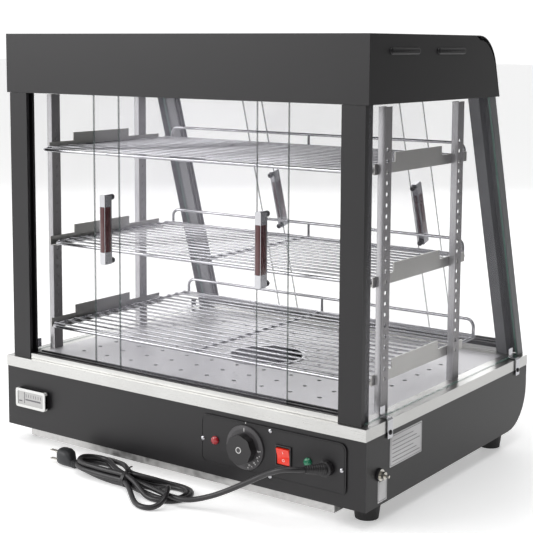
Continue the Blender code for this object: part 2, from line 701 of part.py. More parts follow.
def make_hood():
    """The hood's folded skin with its two end plates, whose rear corners sit a little lower than the skin."""
    outer = hood_outline(0)
    inner = hood_outline(SHEET)
    skin = extruded("hood_shell", [outer + inner[::-1]], "X", -HOOD_HALF, HOOD_HALF)
    plate = hood_outline(SHEET / 2, 0.006)
    for sign in SIDES.values():
        near, far = sorted((sign * (HOOD_HALF - SHEET), sign * HOOD_HALF))
        joined(skin, extruded("end_plate", [plate], "X", near, far, collection=CUTTERS))
    black_paint(skin)

    top = CEILING_LOW + SHEET
    edge = [(HOOD_FRONT + 0.002, CEILING_LOW)]
    for a, b in FRONT_RIBS:
        edge += [(a, CEILING_LOW), (a, HOOD_LOW + 0.0004), (b, HOOD_LOW + 0.0004), (b, CEILING_LOW)]
    for a, b in REAR_RIBS:
        edge += [leaning_at(CEILING_LOW, a), leaning(0.4232, a), leaning(0.4232, b), leaning_at(CEILING_LOW, b)]
    rear = edge[-1][0] + 0.002
    outline = edge + [(rear, CEILING_LOW), (rear, top), (HOOD_FRONT + 0.002, top)]
    ceiling = extruded("hood_ceiling", [outline], "X", -CEILING_HALF, CEILING_HALF)
    cut(ceiling, cutter_boxes([((-0.17, 0.13, 0.52), (0.17, 0.21, 0.55))]), "MANIFOLD")
    finish(ceiling, (0.55, 0.55, 0.54), 0.4, 1.0)

    bm = bmesh.new()
    add_cylinder(bm, (0, 0.17, 0.557), (1, 0, 0), 0.013, 0.30, 16)
    lamp = add_object("lamp", mesh_from("lamp", bm))
    finish(smooth(lamp), (0.9, 0.88, 0.8), 0.3)


# ---------------------------------------------------------------- shelves


def make_shelf(level):
    """A chromed wire shelf: a round bar frame, a centre bar, long wires across and a guard rail at the rear."""
    height, front, rear = SHELVES[level]
    half, rod, wire = SHELF_HALF, SHELF_ROD, SHELF_WIRE
    height += GAP
    place = [(x, y, height) for x, y in rounded_rectangle((-half, front), (half, rear), 0.014, 4)]
    shelf = tube("shelf_" + level, place, rod, closed=True)

    centre = bmesh.new()
    add_cylinder(centre, (0, (front + rear) / 2, height), (0, 1, 0), rod * 0.9, rear - front, 8)
    joined(shelf, add_object("centre_bar", mesh_from("centre_bar", centre), collection=CUTTERS))

    count = int((rear - front - 0.016) / WIRE_PITCH)
    start = (front + rear - count * WIRE_PITCH) / 2
    wires = bmesh.new()
    for i in range(count + 1):
        spot = (0, start + i * WIRE_PITCH, height + rod + wire * 0.35)
        add_cylinder(wires, spot, (1, 0, 0), wire, 2 * half + 0.002, 6)
    joined(shelf, add_object("wires", mesh_from("wires", wires), collection=CUTTERS))

    lift, bend = RAIL_LIFT[level], 0.012
    right = half - 0.006
    line = rear - 0.0006
    corner = [(right - bend + x, line, height + lift - bend + z) for x, z in arc((0, 0), bend, 0, 90, 4)]
    rail_points = [(right, line, height)] + corner
    rail_points += [(-x, y, z) for x, y, z in reversed(rail_points)]
    joined(shelf, tube("rail", rail_points, 0.0026, collection=CUTTERS))
    post = bmesh.new()
    add_cylinder(post, (0.004, line, height + lift / 2), (0, 0, 1), 0.0022, lift, 8)
    joined(shelf, add_object("rail_post", mesh_from("rail_post", post), collection=CUTTERS))
    chrome(shelf)


# ---------------------------------------------------------------- doors and handles


def make_door(name, middle_x, width, plane, low, high, bolt_x, bolt_z, parent=None):
    """A glass door with two holes for its handle's bolts."""
    half = width / 2
    bm = bmesh.new()
    add_box(bm, (-half, -GLASS / 2, low - bolt_z), (half, GLASS / 2, high - bolt_z))
    door = add_object(name, mesh_from(name, bm), (middle_x, plane, bolt_z), parent)
    holes = bmesh.new()
    for sign in SIDES.values():
        spot = (bolt_x, plane, bolt_z + sign * BOLT_PITCH / 2)
        add_cylinder(holes, spot, (0, 1, 0), 0.0030, 0.02, 12)
    clear_glass(cut(door, add_object("bolt_cutter", mesh_from("bolt_cutter", holes), parent=parent,
                                     collection=CUTTERS)))


def make_handle(name, x, plane, z, outwards, parent=None):
    """A bar handle with the two bolts and nuts that hold it on its door."""
    face = GLASS / 2 + GAP
    half_width, half_height = HANDLE_WIDTH / 2, HANDLE_HEIGHT / 2
    near, far = sorted((outwards * face, outwards * (face + HANDLE_DEPTH)))
    bar = extruded(name, [rounded_rectangle((-half_width, -half_height), (half_width, half_height), 0.0015, 1)],
                   "Y", near, far, parent=parent)
    bar.location = (x, plane + bar.location.y, z)
    bm = bmesh.new()
    nuts = bmesh.new()
    for sign in SIDES.values():
        spot = z + sign * BOLT_PITCH / 2
        add_cylinder(bm, (x, plane - outwards * 0.0003, spot), (0, 1, 0), 0.0025, 0.0090, 8)
        add_cylinder(nuts, (x, plane - outwards * (face + 0.0015), spot), (0, 1, 0), 0.0040, 0.0030, 12)
    joined(bar, add_object("bolts", mesh_from("bolts", bm), parent=parent, collection=CUTTERS))
    joined(bar, add_object("nuts", mesh_from("nuts", nuts), parent=parent, collection=CUTTERS))
    finish(bar, (0.10, 0.022, 0.024), 0.35)


def make_doors():
    """Front and rear sliding doors, both pairs part open, with their handles on the outer faces."""
    front = (("left", -0.0122, FRONT_INNER_GLASS, -0.131), ("right", 0.04725, FRONT_OUTER_GLASS, 0.1595))
    for side, middle, plane, bar in front:
        make_door("front_door_" + side, middle, DOOR_WIDTH, plane, DOOR_LOW, DOOR_TOP, bar, 0.326)
        make_handle("front_handle_" + side, bar, plane, 0.326, -1)
    rear = (("right", 0.0535, REAR_INNER_GLASS, 0.170), ("left", 0.008, REAR_OUTER_GLASS, -0.1115))
    for side, middle, plane, bar in rear:
        make_door("rear_door_" + side, middle, REAR_DOOR_WIDTH, plane, REAR_GLASS_LOW, REAR_GLASS_TOP, bar,
                  0.2177, LEAN_FRAME)
        make_handle("rear_handle_" + side, bar, plane, 0.2177, 1, LEAN_FRAME)


# ---------------------------------------------------------------- mains lead

LEAD_ROUTE = [
    (0.2512, -0.0372, 0.0528), (0.2445, -0.0435, 0.0534), (0.2345, -0.0480, 0.0525), (0.2215, -0.0500, 0.0477),
    (0.2040, -0.0485, 0.0390), (0.1875, -0.0500, 0.0295), (0.1710, -0.0515, 0.0200), (0.1510, -0.0540, 0.0090),
    (0.1310, -0.0575, -0.0010), (0.1130, -0.0620, -0.0080), (0.0995, -0.0660, -0.0120), (0.0900, -0.0690, -0.0134),
]
HANK_LEFT = (-0.109, -0.031, 0.033)      # centre x, y and radius of the hank's left end
HANK_RIGHT = (0.037, -0.062, 0.052)


def smooth_route(points, spacing):
    """Points at an even spacing on a smooth curve through the route's own points."""
    points = [Vector(p) for p in points]
    padded = [2 * points[0] - points[1], *points, 2 * points[-1] - points[-2]]
    fine = []
    for a, b, c, d in zip(padded, padded[1:], padded[2:], padded[3:]):
        for i in range(16):
            t = i / 16
            fine.append(0.5 * (2 * b + (c - a) * t + (2 * a - 5 * b + 4 * c - d) * t ** 2
                               + (3 * b - a - 3 * c + d) * t ** 3))
    fine.append(points[-1])
    length = sum((q - p).length for p, q in zip(fine, fine[1:]))
    count = max(2, round(length / spacing))
    step, travelled, made = length / count, 0.0, [fine[0]]
    for p, q in zip(fine, fine[1:]):
        reach = (q - p).length
        while len(made) < count and travelled + reach >= step * len(made):
            made.append(p.lerp(q, (step * len(made) - travelled) / reach))
        travelled += reach
    return made + [fine[-1]]


def make_lead():
    """The lead from the strain relief down to the counter, the tied hank that it ends in, and the plug."""
    tip = Vector((GLAND_X, -0.0065, GLAND_Z)) + BOOT_LINE * (BOOT_LENGTH + 2 * GAP)
    lead = tube("cord_lead", smooth_route([tip, *LEAD_ROUTE], 0.018), CORD_RADIUS)
    black_plastic(smooth(lead))

    (x0, y0, r0), (x1, y1, r1) = HANK_LEFT, HANK_RIGHT
    heading = math.degrees(math.atan2(y1 - y0, x1 - x0))
    flare = math.degrees(math.asin((r1 - r0) / math.hypot(x1 - x0, y1 - y0)))
    outline = arc((x1, y1), r1, heading - 90 - flare, heading + 90 + flare, 14)
    outline += arc((x0, y0), r0, heading + 90 + flare, heading + 270 - flare, 10)
    hank = extruded("cord_hank", [outline], "Z", COUNTER + 0.0001, COUNTER + 0.022)
    black_plastic(hank)

    body = [(-0.176, -0.0245), (-0.176, -0.0020), (-0.166, 0.0005), (-0.154, -0.0010), (-0.1490, -0.0090),
            (-0.1420, -0.0140), (-0.1420, -0.0240), (-0.150, -0.0245)]
    plug = extruded("cord_plug", [body[::-1]], "Y", -0.0475, -0.0365)
    pins = bmesh.new()
    for z in (-0.0053, -0.0180):
        add_box(pins, (-0.192, -0.0452, z - 0.00075), (-0.170, -0.0388, z + 0.00075))
    joined(plug, add_object("blades", mesh_from("blades", pins), collection=CUTTERS))
    back = boxes("plug_back", [((-0.176, -0.0380, -0.0245), (-0.1500, -0.0270, -0.0015))], collection=CUTTERS)
    joined(plug, back)
    earth = bmesh.new()
    add_cylinder(earth, (-0.1825, -0.0310, -0.0117), (1, 0, 0), 0.0024, 0.021, 8)
    joined(plug, add_object("earth_pin", mesh_from("earth_pin", earth), collection=CUTTERS))
    black_plastic(plug)


# ---------------------------------------------------------------- assembly

make_base()
make_deck()
make_internals()
make_control_plate()
make_dial()
make_switch()
make_lamps()
make_gland()
make_front_fittings()
make_cabinet_frame()
make_hood()
for shelf_level in SHELVES:
    make_shelf(shelf_level)
make_doors()
make_lead()
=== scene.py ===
"""Countertop hot food display case: finishes, fittings, mains cord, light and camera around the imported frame.

Sizes in this file are millimetres in the maker's own frame, measured from the rim's front edge, the middle of
the width and the underside of the base. ``placed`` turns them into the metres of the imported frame.
"""

import logging
import math
from dataclasses import dataclass, field
from enum import Enum
from typing import Callable, Dict, List, Optional, Sequence, Tuple

import bpy
import numpy as np
from mathutils import Matrix, Vector


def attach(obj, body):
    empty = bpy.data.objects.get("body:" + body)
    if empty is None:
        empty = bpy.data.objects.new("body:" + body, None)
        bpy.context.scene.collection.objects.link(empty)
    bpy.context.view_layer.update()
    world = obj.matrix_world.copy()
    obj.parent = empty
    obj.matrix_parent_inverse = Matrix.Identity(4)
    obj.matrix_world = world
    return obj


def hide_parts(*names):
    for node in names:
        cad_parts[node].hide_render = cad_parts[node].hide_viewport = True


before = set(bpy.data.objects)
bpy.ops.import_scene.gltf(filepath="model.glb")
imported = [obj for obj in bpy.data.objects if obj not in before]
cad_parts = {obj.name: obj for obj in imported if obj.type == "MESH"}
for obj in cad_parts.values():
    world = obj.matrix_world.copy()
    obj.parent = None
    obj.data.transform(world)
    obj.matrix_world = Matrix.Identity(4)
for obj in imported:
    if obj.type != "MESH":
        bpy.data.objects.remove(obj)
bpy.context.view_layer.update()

logging.basicConfig(level=logging.INFO, format="%(message)s")
LOG = logging.getLogger("display_case")

Surface = Tuple[np.ndarray, List[List[int]]]

MM = 0.001
MAKER_ORIGIN = np.array((-0.00755, -0.2391, 0.025))
SIDES = {"left": -1, "right": 1}
LEAN = math.atan(0.3027)
LEAN_FOOT = np.array((0.0, 475.0, 119.3))
# The way that the lead leaves its boot.
BOOT_LINE = (-0.567, -0.819, 0.087)


# ---------------------------------------------------------------- finishes


def colour(code: str) -> Tuple[float, float, float, float]:
    """Turns an sRGB hex colour into linear RGBA.

    Args:
        code: six hex digits, with or without a leading hash.

    Returns:
        The linear colour with an alpha of one.
    """
    code = code.lstrip("#")
    values = [int(code[i:i + 2], 16) / 255 for i in (0, 2, 4)]
    linear = [v / 12.92 if v <= 0.04045 else ((v + 0.055) / 1.055) ** 2.4 for v in values]
    return (*linear, 1.0)


def add_node(tree: bpy.types.NodeTree, kind: str, settings: Optional[Dict] = None,
             links: Optional[Dict] = None) -> bpy.types.Node:
    """Adds one node with its settings and links.

    Args:
        tree: the node tree.
        kind: the node's type name.
        settings: attribute names, or input names or numbers, with their values.
        links: input names or numbers with the output sockets that feed them.

    Returns:
        The new node.
    """
    made = tree.nodes.new(kind)
    for key, value in (settings or {}).items():
        if isinstance(key, str) and hasattr(made, key):
            setattr(made, key, value)
        else:
            made.inputs[key].default_value = value
    for key, socket in (links or {}).items():
        tree.links.new(socket, made.inputs[key])
    return made


def material_once(name: str, build: Callable[[bpy.types.NodeTree], None]) -> bpy.types.Material:
    """Returns a material, made on first use.

    Args:
        name: the material's name.
        build: the function that builds its nodes in its tree.

    Returns:
        The material.
    """
    found = bpy.data.materials.get(name)
    if found is None:
        found = bpy.data.materials.new(name)
        found.use_nodes = True
        build(found.node_tree)
    return found


def linked(name: str, data: bpy.types.ID) -> bpy.types.Object:
    """Makes an object of some data and puts it in the scene."""
    made = bpy.data.objects.new(name, data)
    bpy.context.scene.collection.objects.link(made)
    return made


class Pattern(Enum):
    """How a surface was made, which sets the pattern that it shows."""

    POWDER_COAT = "powder coat"
    BRUSHED = "brushed sheet"
    BRIGHT_PLATE = "bright plating"
    SPANGLE = "hot-dip zinc"
    MOULDED = "moulded"
    CAST_GLOSS = "gloss moulding"


# How much a pattern's noise is stretched along the direction that the surface was worked in.
STRETCH = {Pattern.BRUSHED: 40.0}


@dataclass(frozen=True)
class Finish:
    """A finish that varies between two near colours on a grain of real size."""

    name: str
    light: str
    dark: str
    rough: Tuple[float, float]
    pattern: Pattern
    grain_mm: float
    relief: float = 0.1
    metallic: float = 0.0
    along: int = 0
    alpha: float = 1.0
    coat: float = 0.0
    shine: float = 0.5
    light_through: float = 0.0

    def material(self) -> bpy.types.Material:
        """Returns this finish's material, made on first use."""
        return material_once(self.name, self.build)

    def build(self, tree: bpy.types.NodeTree) -> None:
        """Builds the finish's nodes.

        Args:
            tree: the material's tree, holding the default shader and output.
        """
        shader = tree.nodes["Principled BSDF"]
        place = add_node(tree, "ShaderNodeTexCoord")
        scale = [1.0 / (self.grain_mm * MM)] * 3
        if self.pattern in STRETCH:
            scale[self.along] /= STRETCH[self.pattern]
        spot = add_node(tree, "ShaderNodeMapping", {"Scale": scale}, {"Vector": place.outputs["Object"]})
        if self.pattern is Pattern.SPANGLE:
            grain = add_node(tree, "ShaderNodeTexVoronoi", {"Scale": 1.0, "Randomness": 1.0},
                             {"Vector": spot.outputs[0]})
        else:
            grain = add_node(tree, "ShaderNodeTexNoise", {"Scale": 1.0, "Detail": 3.0, "Roughness": 0.6},
                             {"Vector": spot.outputs[0]})
        value = grain.outputs[0]
        cloud = add_node(tree, "ShaderNodeTexNoise", {"Scale": 9.0, "Detail": 2.0},
                         {"Vector": place.outputs["Object"]})
        share = add_node(tree, "ShaderNodeMath", {"operation": "MULTIPLY_ADD", 1: 0.6, 2: 0.2},
                         {0: value})
        both = add_node(tree, "ShaderNodeMath", {"operation": "MULTIPLY_ADD", 1: 0.5},
                        {0: cloud.outputs[0], 2: share.outputs[0]})
        tone = add_node(tree, "ShaderNodeMapRange", {"From Min": 0.45, "From Max": 1.05},
                        {"Value": both.outputs[0]})
        mixed = add_node(tree, "ShaderNodeMix", {"data_type": "RGBA"}, {0: tone.outputs[0]})
        mixed.inputs[6].default_value = colour(self.dark)
        mixed.inputs[7].default_value = colour(self.light)
        tree.links.new(mixed.outputs[2], shader.inputs["Base Color"])
        gloss = add_node(tree, "ShaderNodeMapRange", {"From Min": 0.3, "From Max": 0.7,
                                                      "To Min": self.rough[0], "To Max": self.rough[1]},
                         {"Value": value})
        tree.links.new(gloss.outputs[0], shader.inputs["Roughness"])
        bump = add_node(tree, "ShaderNodeBump", {"Strength": self.relief, "Distance": self.grain_mm * MM
                                                 * 0.3},
                        {"Height": value})
        tree.links.new(bump.outputs[0], shader.inputs["Normal"])
        shader.inputs["Metallic"].default_value = self.metallic
        shader.inputs["Alpha"].default_value = self.alpha
        shader.inputs["Specular IOR Level"].default_value = self.shine
        shader.inputs["Coat Weight"].default_value = self.coat
        shader.inputs["Coat Roughness"].default_value = 0.08
        if self.light_through:
            shader.inputs["Emission Color"].default_value = colour(self.light)
            shader.inputs["Emission Strength"].default_value = self.light_through


@dataclass(frozen=True)
class PaneFinish:
    """Clear float glass: nearly nothing face on, with cut edges that read as thin grey-green lines."""

    name: str
    face_axis: int
    tint: str = "#C9C6D2"
    edge: str = "#5E6F6B"
    face_alpha: float = 0.045
    edge_alpha: float = 0.72
    smear_mm: float = 60.0

    def material(self) -> bpy.types.Material:
        """Returns the glass material, made on first use."""
        return material_once(self.name, self.build)

    def build(self, tree: bpy.types.NodeTree) -> None:
        """Builds the glass's nodes.

        Args:
            tree: the material's tree, holding the default shader and output.
        """
        shader = tree.nodes["Principled BSDF"]
        place = add_node(tree, "ShaderNodeTexCoord")
        split = add_node(tree, "ShaderNodeSeparateXYZ", links={0: place.outputs["Normal"]})
        size = add_node(tree, "ShaderNodeMath", {"operation": "ABSOLUTE"}, {0: split.outputs[self.face_axis]})
        cut = add_node(tree, "ShaderNodeMath", {"operation": "LESS_THAN", 1: 0.5}, {0: size.outputs[0]})
        smear = add_node(tree, "ShaderNodeTexNoise", {"Scale": 1.0 / (self.smear_mm * MM), "Detail": 3.0},
                         {"Vector": place.outputs["Object"]})
        haze = add_node(tree, "ShaderNodeMapRange", {"From Min": 0.3, "From Max": 0.7,
                                                     "To Min": self.face_alpha * 0.8,
                                                     "To Max": self.face_alpha * 1.2},
                        {"Value": smear.outputs[0]})
        opacity = add_node(tree, "ShaderNodeMix", {"data_type": "FLOAT"},
                           {0: cut.outputs[0], 2: haze.outputs[0]})
        opacity.inputs[3].default_value = self.edge_alpha
        shade = add_node(tree, "ShaderNodeMix", {"data_type": "RGBA"}, {0: cut.outputs[0]})
        shade.inputs[6].default_value = colour(self.tint)
        shade.inputs[7].default_value = colour(self.edge)
        tree.links.new(shade.outputs[2], shader.inputs["Base Color"])
        tree.links.new(opacity.outputs[0], shader.inputs["Alpha"])
        shader.inputs["Roughness"].default_value = 0.04


# Powder-coated steel: a deep black with an eggshell shine and a very fine orange peel.
BLACK_COAT = Finish("black_powder_coated_steel", "#1A181A", "#121113", (0.34, 0.44), Pattern.POWDER_COAT,
                    1.1, 0.10, shine=0.45)
# The rear posts' black coat, painted mid grey: a painted reflection of the bright surroundings on black paint.
BLACK_COAT_PAINTED_SHEEN = Finish("black_coat_painted_grey_sheen", "#747577", "#5C5D5F", (0.40, 0.50), Pattern.POWDER_COAT, 1.1,
                   0.10)
# Brushed stainless sheet: fine lines along the width give a soft, streaked shine.
# The lines are drawn 0.5 mm apart, as coarse as they need to show.
BRUSHED_STEEL = Finish("brushed_stainless_steel", "#CFCFCD", "#B4B3B1", (0.24, 0.36), Pattern.BRUSHED, 0.5,
                       0.05, 1.0, 0)
# The same sheet brushed upright, for the faces of the shelf uprights.
UPRIGHT_STEEL = Finish("upright_brushed_stainless_steel", "#BDBCBE", "#A2A1A4", (0.26, 0.38), Pattern.BRUSHED,
                       0.5, 0.05, 0.9, 2)
# The uprights' perforated sides: the same sheet, dull, and painted mid grey as painted shade inside the
# channel.
UPRIGHT_SIDE_PAINTED_SHADE = Finish("dull_stainless_painted_shade", "#9A9899", "#868485", (0.34, 0.48), Pattern.BRUSHED, 0.5, 0.05,
                      0.7, 2)
# The sheet inside the hood: dull and unpolished, painted dark grey as painted shade under the hood, which the
# wires mirror on their tops.
CEILING_STEEL_PAINTED_SHADE = Finish("ceiling_sheet_painted_shade", "#5E5E60", "#4C4C4E", (0.45, 0.60), Pattern.BRUSHED, 0.6, 0.05,
                       1.0, 0)
# The same sheet brushed front to back, for the brackets.
BRACKET_STEEL = Finish("bracket_brushed_stainless_steel", "#C4C3C0", "#ABAAA7", (0.30, 0.42), Pattern.BRUSHED,
                       0.5, 0.05, 1.0, 1)
# Mill-finish stainless deck: a bright, slightly clouded floor with soft reflections.
DECK_STEEL = Finish("mill_finish_stainless_steel", "#EAE9EC", "#DAD9DC", (0.40, 0.52), Pattern.BRUSHED, 0.8,
                    0.04, 0.35, 1)
# Hot-dip zinc sheet: dull silver with large faint crystals.
ZINC = Finish("hot_dip_zinc_sheet", "#C9C8C7", "#B2B1B0", (0.38, 0.52), Pattern.SPANGLE, 9.0, 0.05, 1.0)
# Bright chrome plate on wire: mirror-like with a faint waviness from the drawn wire under it.
CHROME = Finish("bright_chrome_plate", "#C4C4C7", "#B0B0B4", (0.14, 0.24), Pattern.BRIGHT_PLATE, 3.0, 0.03,
                1.0)
# Nickel-plated brass: warmer and softer than chrome.
NICKEL = Finish("nickel_plated_brass", "#D9D6CF", "#BDB9B0", (0.18, 0.30), Pattern.BRIGHT_PLATE, 2.0, 0.04,
                1.0)
# Blackened zinc plate, on the grips' nuts and the clips' screws.
DARK_ZINC = Finish("blackened_zinc_nut", "#3B3A3C", "#232224", (0.30, 0.45), Pattern.BRIGHT_PLATE, 1.0, 0.08,
                   1.0)
# Moulded black ABS: a dark satin with a fine spark-eroded grain.
BLACK_ABS = Finish("moulded_black_abs", "#2A282A", "#1D1C1D", (0.34, 0.48), Pattern.MOULDED, 0.7, 0.15)
# Gloss-moulded dark grey ABS on the dial.
DIAL_ABS = Finish("dial_grey_abs", "#454345", "#343234", (0.28, 0.40), Pattern.MOULDED, 0.7, 0.12)
# Gloss red polycarbonate with the neon behind it, so that it glows a little.
ROCKER_PC = Finish("translucent_red_polycarbonate", "#E2361F", "#C42A20", (0.16, 0.26), Pattern.CAST_GLOSS,
                   2.0, 0.04, coat=0.3, light_through=0.25)
RED_LENS = Finish("red_lamp_lens", "#B4202A", "#6E0E14", (0.08, 0.16), Pattern.CAST_GLOSS, 1.5, 0.05,
                  coat=0.5, light_through=0.08)
GREEN_LENS = Finish("green_lamp_lens", "#14805A", "#06402B", (0.08, 0.16), Pattern.CAST_GLOSS, 1.5, 0.05,
                    coat=0.5, light_through=0.06)
# Moulded grip under clear lacquer: red-brown with faint dark streaks upright and a crisp highlight.
LACQUERED_GRIP = Finish("red_lacquered_grip", "#5A2024", "#33100F", (0.20, 0.32), Pattern.BRUSHED, 0.9, 0.06,
                        along=2, coat=0.6)
# Natural rubber feet: matt near black.
RUBBER = Finish("black_rubber", "#252425", "#1A191A", (0.60, 0.78), Pattern.MOULDED, 1.2, 0.25)
# PVC cord sheath: smooth, with a soft light line along its top.
CORD_PVC = Finish("black_pvc_sheath", "#2C2A2C", "#1F1E20", (0.30, 0.42), Pattern.MOULDED, 1.5, 0.08)
PLUG_PVC = Finish("moulded_plug_pvc", "#2A2B2E", "#1D1E21", (0.38, 0.52), Pattern.MOULDED, 0.9, 0.18)
# Sheathed heating element: oxidised alloy, brown-grey.
HEATER_SHEATH = Finish("oxidised_heater_sheath", "#5A5048", "#3C342E", (0.45, 0.60), Pattern.MOULDED, 1.5,
                       0.15, 0.8)
# Glazed steatite terminal block.
CERAMIC = Finish("glazed_steatite", "#D8D3C4", "#C6C0B0", (0.20, 0.32), Pattern.CAST_GLOSS, 2.0, 0.05)
# Frosted lamp tube.
LAMP_TUBE = Finish("frosted_lamp_glass", "#F4F1E6", "#E6E2D4", (0.30, 0.40), Pattern.CAST_GLOSS, 3.0, 0.03,
                   light_through=0.4)
# White acetal frame and pale dial card of the thermometer.
WHITE_ACETAL = Finish("white_acetal", "#E9E9E7", "#D5D5D3", (0.30, 0.42), Pattern.MOULDED, 0.8, 0.08,
                      coat=0.2)
DIAL_CARD = Finish("printed_card", "#C4C3C2", "#AFAEAD", (0.45, 0.60), Pattern.MOULDED, 1.2, 0.05)
# Silvered polyester plate.
PLATE_FOIL = Finish("silvered_plate", "#DAD9DA", "#C6C5C6", (0.35, 0.50), Pattern.BRUSHED, 0.6, 0.04, 0.3, 1)
RULE_INK = Finish("grey_printing_ink", "#77767A", "#605F63", (0.50, 0.62), Pattern.MOULDED, 0.8, 0.04)
# White printing ink on the dial and rocker.
WHITE_INK = Finish("white_printing_ink", "#F2F1F0", "#DCDBDA", (0.40, 0.55), Pattern.MOULDED, 0.6, 0.05)

DOOR_GLASS = PaneFinish("clear_float_door_glass", 1)
SIDE_GLASS = PaneFinish("clear_float_side_glass", 0, edge="#7FA398", edge_alpha=0.65)


# ---------------------------------------------------------------- surfaces


def placed(points: np.ndarray) -> np.ndarray:
    """Turns maker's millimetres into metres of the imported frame."""
    return np.asarray(points, float) * MM + MAKER_ORIGIN


def leaned(points: np.ndarray) -> np.ndarray:
    """Turns points of the leaning rear frame into the maker's frame.

    A point is (across, out of the frame, up along it), and the frame turns about the width by the lean.

    Args:
        points: an (n, 3) array in millimetres.

    Returns:
        The same points in the maker's frame.
    """
    points = np.asarray(points, float)
    c, s = math.cos(LEAN), math.sin(LEAN)
    out, up = points[:, 1], points[:, 2]
    return np.column_stack((points[:, 0], out * c - up * s, out * s + up * c)) + LEAN_FOOT


def grid_faces(rows: int, columns: int, wrap: bool) -> List[List[int]]:
    """Quads of a grid whose points are numbered row by row.

    Args:
        rows: number of rows of points.
        columns: number of points in a row.
        wrap: whether each row closes on itself.

    Returns:
        Faces as lists of four point numbers.
    """
    i = np.arange(rows - 1)[:, None]
    j = np.arange(columns if wrap else columns - 1)[None, :]
    k = (j + 1) % columns
    quads = np.stack(np.broadcast_arrays(i * columns + j, i * columns + k, (i + 1) * columns + k,
                                         (i + 1) * columns + j), axis=-1)
    return quads.reshape(-1, 4).tolist()


def lofted(rings: np.ndarray, closed_path: bool = False) -> Surface:
    """Joins closed rings into one skin: ring after ring is a row of the grid, and flat caps close the ends.

    Args:
        rings: an (m, n, 3) array of m rings with n points each.
        closed_path: whether the last ring joins the first, with no caps.

    Returns:
        The points and faces.
    """
    count, around = rings.shape[:2]
    points = rings.reshape(-1, 3)
    faces = grid_faces(count, around, True)
    if closed_path:
        last = np.arange(around) + (count - 1) * around
        first = np.arange(around)
        faces += np.stack((last, np.roll(last, -1), np.roll(first, -1), first), axis=-1).tolist()
        return points, faces
    faces.append(list(range(around))[::-1])
    faces.append(list(range((count - 1) * around, count * around)))
    return points, faces


def joined(surfaces: Sequence[Surface]) -> Surface:
    """Puts several closed surfaces into one mesh."""
    points, faces, start = [], [], 0
    for some, polygons in surfaces:
        points.append(some)
        faces += [[k + start for k in polygon] for polygon in polygons]
        start += len(some)
    return np.vstack(points), faces


def tube(path: np.ndarray, radius: object, normal: Sequence[float], sides: int = 12,
         closed: bool = False) -> Surface:
    """A round bar along a path: at each path point a circle lies across the tangent.

    The circle's point at angle t is the path point plus radius times (cos t times u plus sin t times v).
    There u is across the tangent and the given normal, and v is across both.

    Args:
        path: an (n, 3) array.
        radius: one radius, or one for each path point.
        normal: a direction that the path never follows.
        sides: points round the bar.
        closed: whether the path closes on itself.

    Returns:
        The points and faces.
    """
    path = np.asarray(path, float)
    if closed:
        tangent = np.roll(path, -1, 0) - np.roll(path, 1, 0)
    else:
        tangent = np.gradient(path, axis=0)
    tangent /= np.linalg.norm(tangent, axis=1)[:, None]
    u = np.cross(np.asarray(normal, float), tangent)
    u /= np.linalg.norm(u, axis=1)[:, None]
    v = np.cross(tangent, u)
    t = np.linspace(0, 2 * np.pi, sides, endpoint=False)
    size = np.broadcast_to(np.asarray(radius, float), (len(path),))[:, None, None]
    rings = path[:, None] + size * (np.cos(t)[None, :, None] * u[:, None] + np.sin(t)[None, :, None]
                                    * v[:, None])
    return lofted(rings, closed)


def outline_normals(outline: np.ndarray) -> np.ndarray:
    """Outward unit normals of an anticlockwise flat outline, from each point's two neighbours."""
    along = np.roll(outline, -1, 0) - np.roll(outline, 1, 0)
    normals = np.column_stack((along[:, 1], -along[:, 0]))
    return normals / np.linalg.norm(normals, axis=1)[:, None]


def pressed(outline: np.ndarray, stations: Sequence[Tuple[float, float]], axis: int,
            sign: int = 1) -> Surface:
    """A flat outline carried along an axis, shrunk inwards by a stated inset at each station.

    Args:
        outline: an anticlockwise (n, 2) outline on the two other axes, taken in rising order.
        stations: (distance along the axis, inset) pairs, in order along the axis.
        axis: 0, 1 or 2.
        sign: 1 if the stations rise along the axis, or -1 if they fall.

    Returns:
        The points and faces.
    """
    outline = np.asarray(outline, float)
    normals = outline_normals(outline)
    rings = np.zeros((len(stations), len(outline), 3))
    others = [k for k in range(3) if k != axis]
    for row, (distance, inset) in enumerate(stations):
        rings[row][:, others] = outline - inset * normals
        rings[row][:, axis] = distance
    flip = (axis == 1) != (sign < 0)
    return lofted(rings[:, ::-1] if flip else rings)


def rounded(low: Sequence[float], high: Sequence[float], radius: float, steps: int = 6) -> np.ndarray:
    """The anticlockwise outline of a rectangle with rounded corners."""
    t = np.linspace(0, np.pi / 2, steps + 1)
    corners = ((high[0] - radius, low[1] + radius, -np.pi / 2), (high[0] - radius, high[1] - radius, 0),
               (low[0] + radius, high[1] - radius, np.pi / 2), (low[0] + radius, low[1] + radius, np.pi))
    return np.vstack([np.column_stack((x + radius * np.cos(t + start), y + radius * np.sin(t + start)))
                      for x, y, start in corners])


def rectangle(low: Sequence[float], high: Sequence[float]) -> np.ndarray:
    """The anticlockwise outline of a rectangle with sharp corners."""
    return np.array(((low[0], low[1]), (high[0], low[1]), (high[0], high[1]), (low[0], high[1])))


def sided(surface: Surface, side: str) -> Surface:
    """Turns a surface of the right side into one for a stated side.

    Args:
        surface: the points and faces on the right side.
        side: left or right. On the left x changes sign, and each face is turned to point outwards still.

    Returns:
        The points and faces.
    """
    points, faces = surface
    if SIDES[side] < 0:
        points, faces = points * (-1, 1, 1), [face[::-1] for face in faces]
    return points, faces


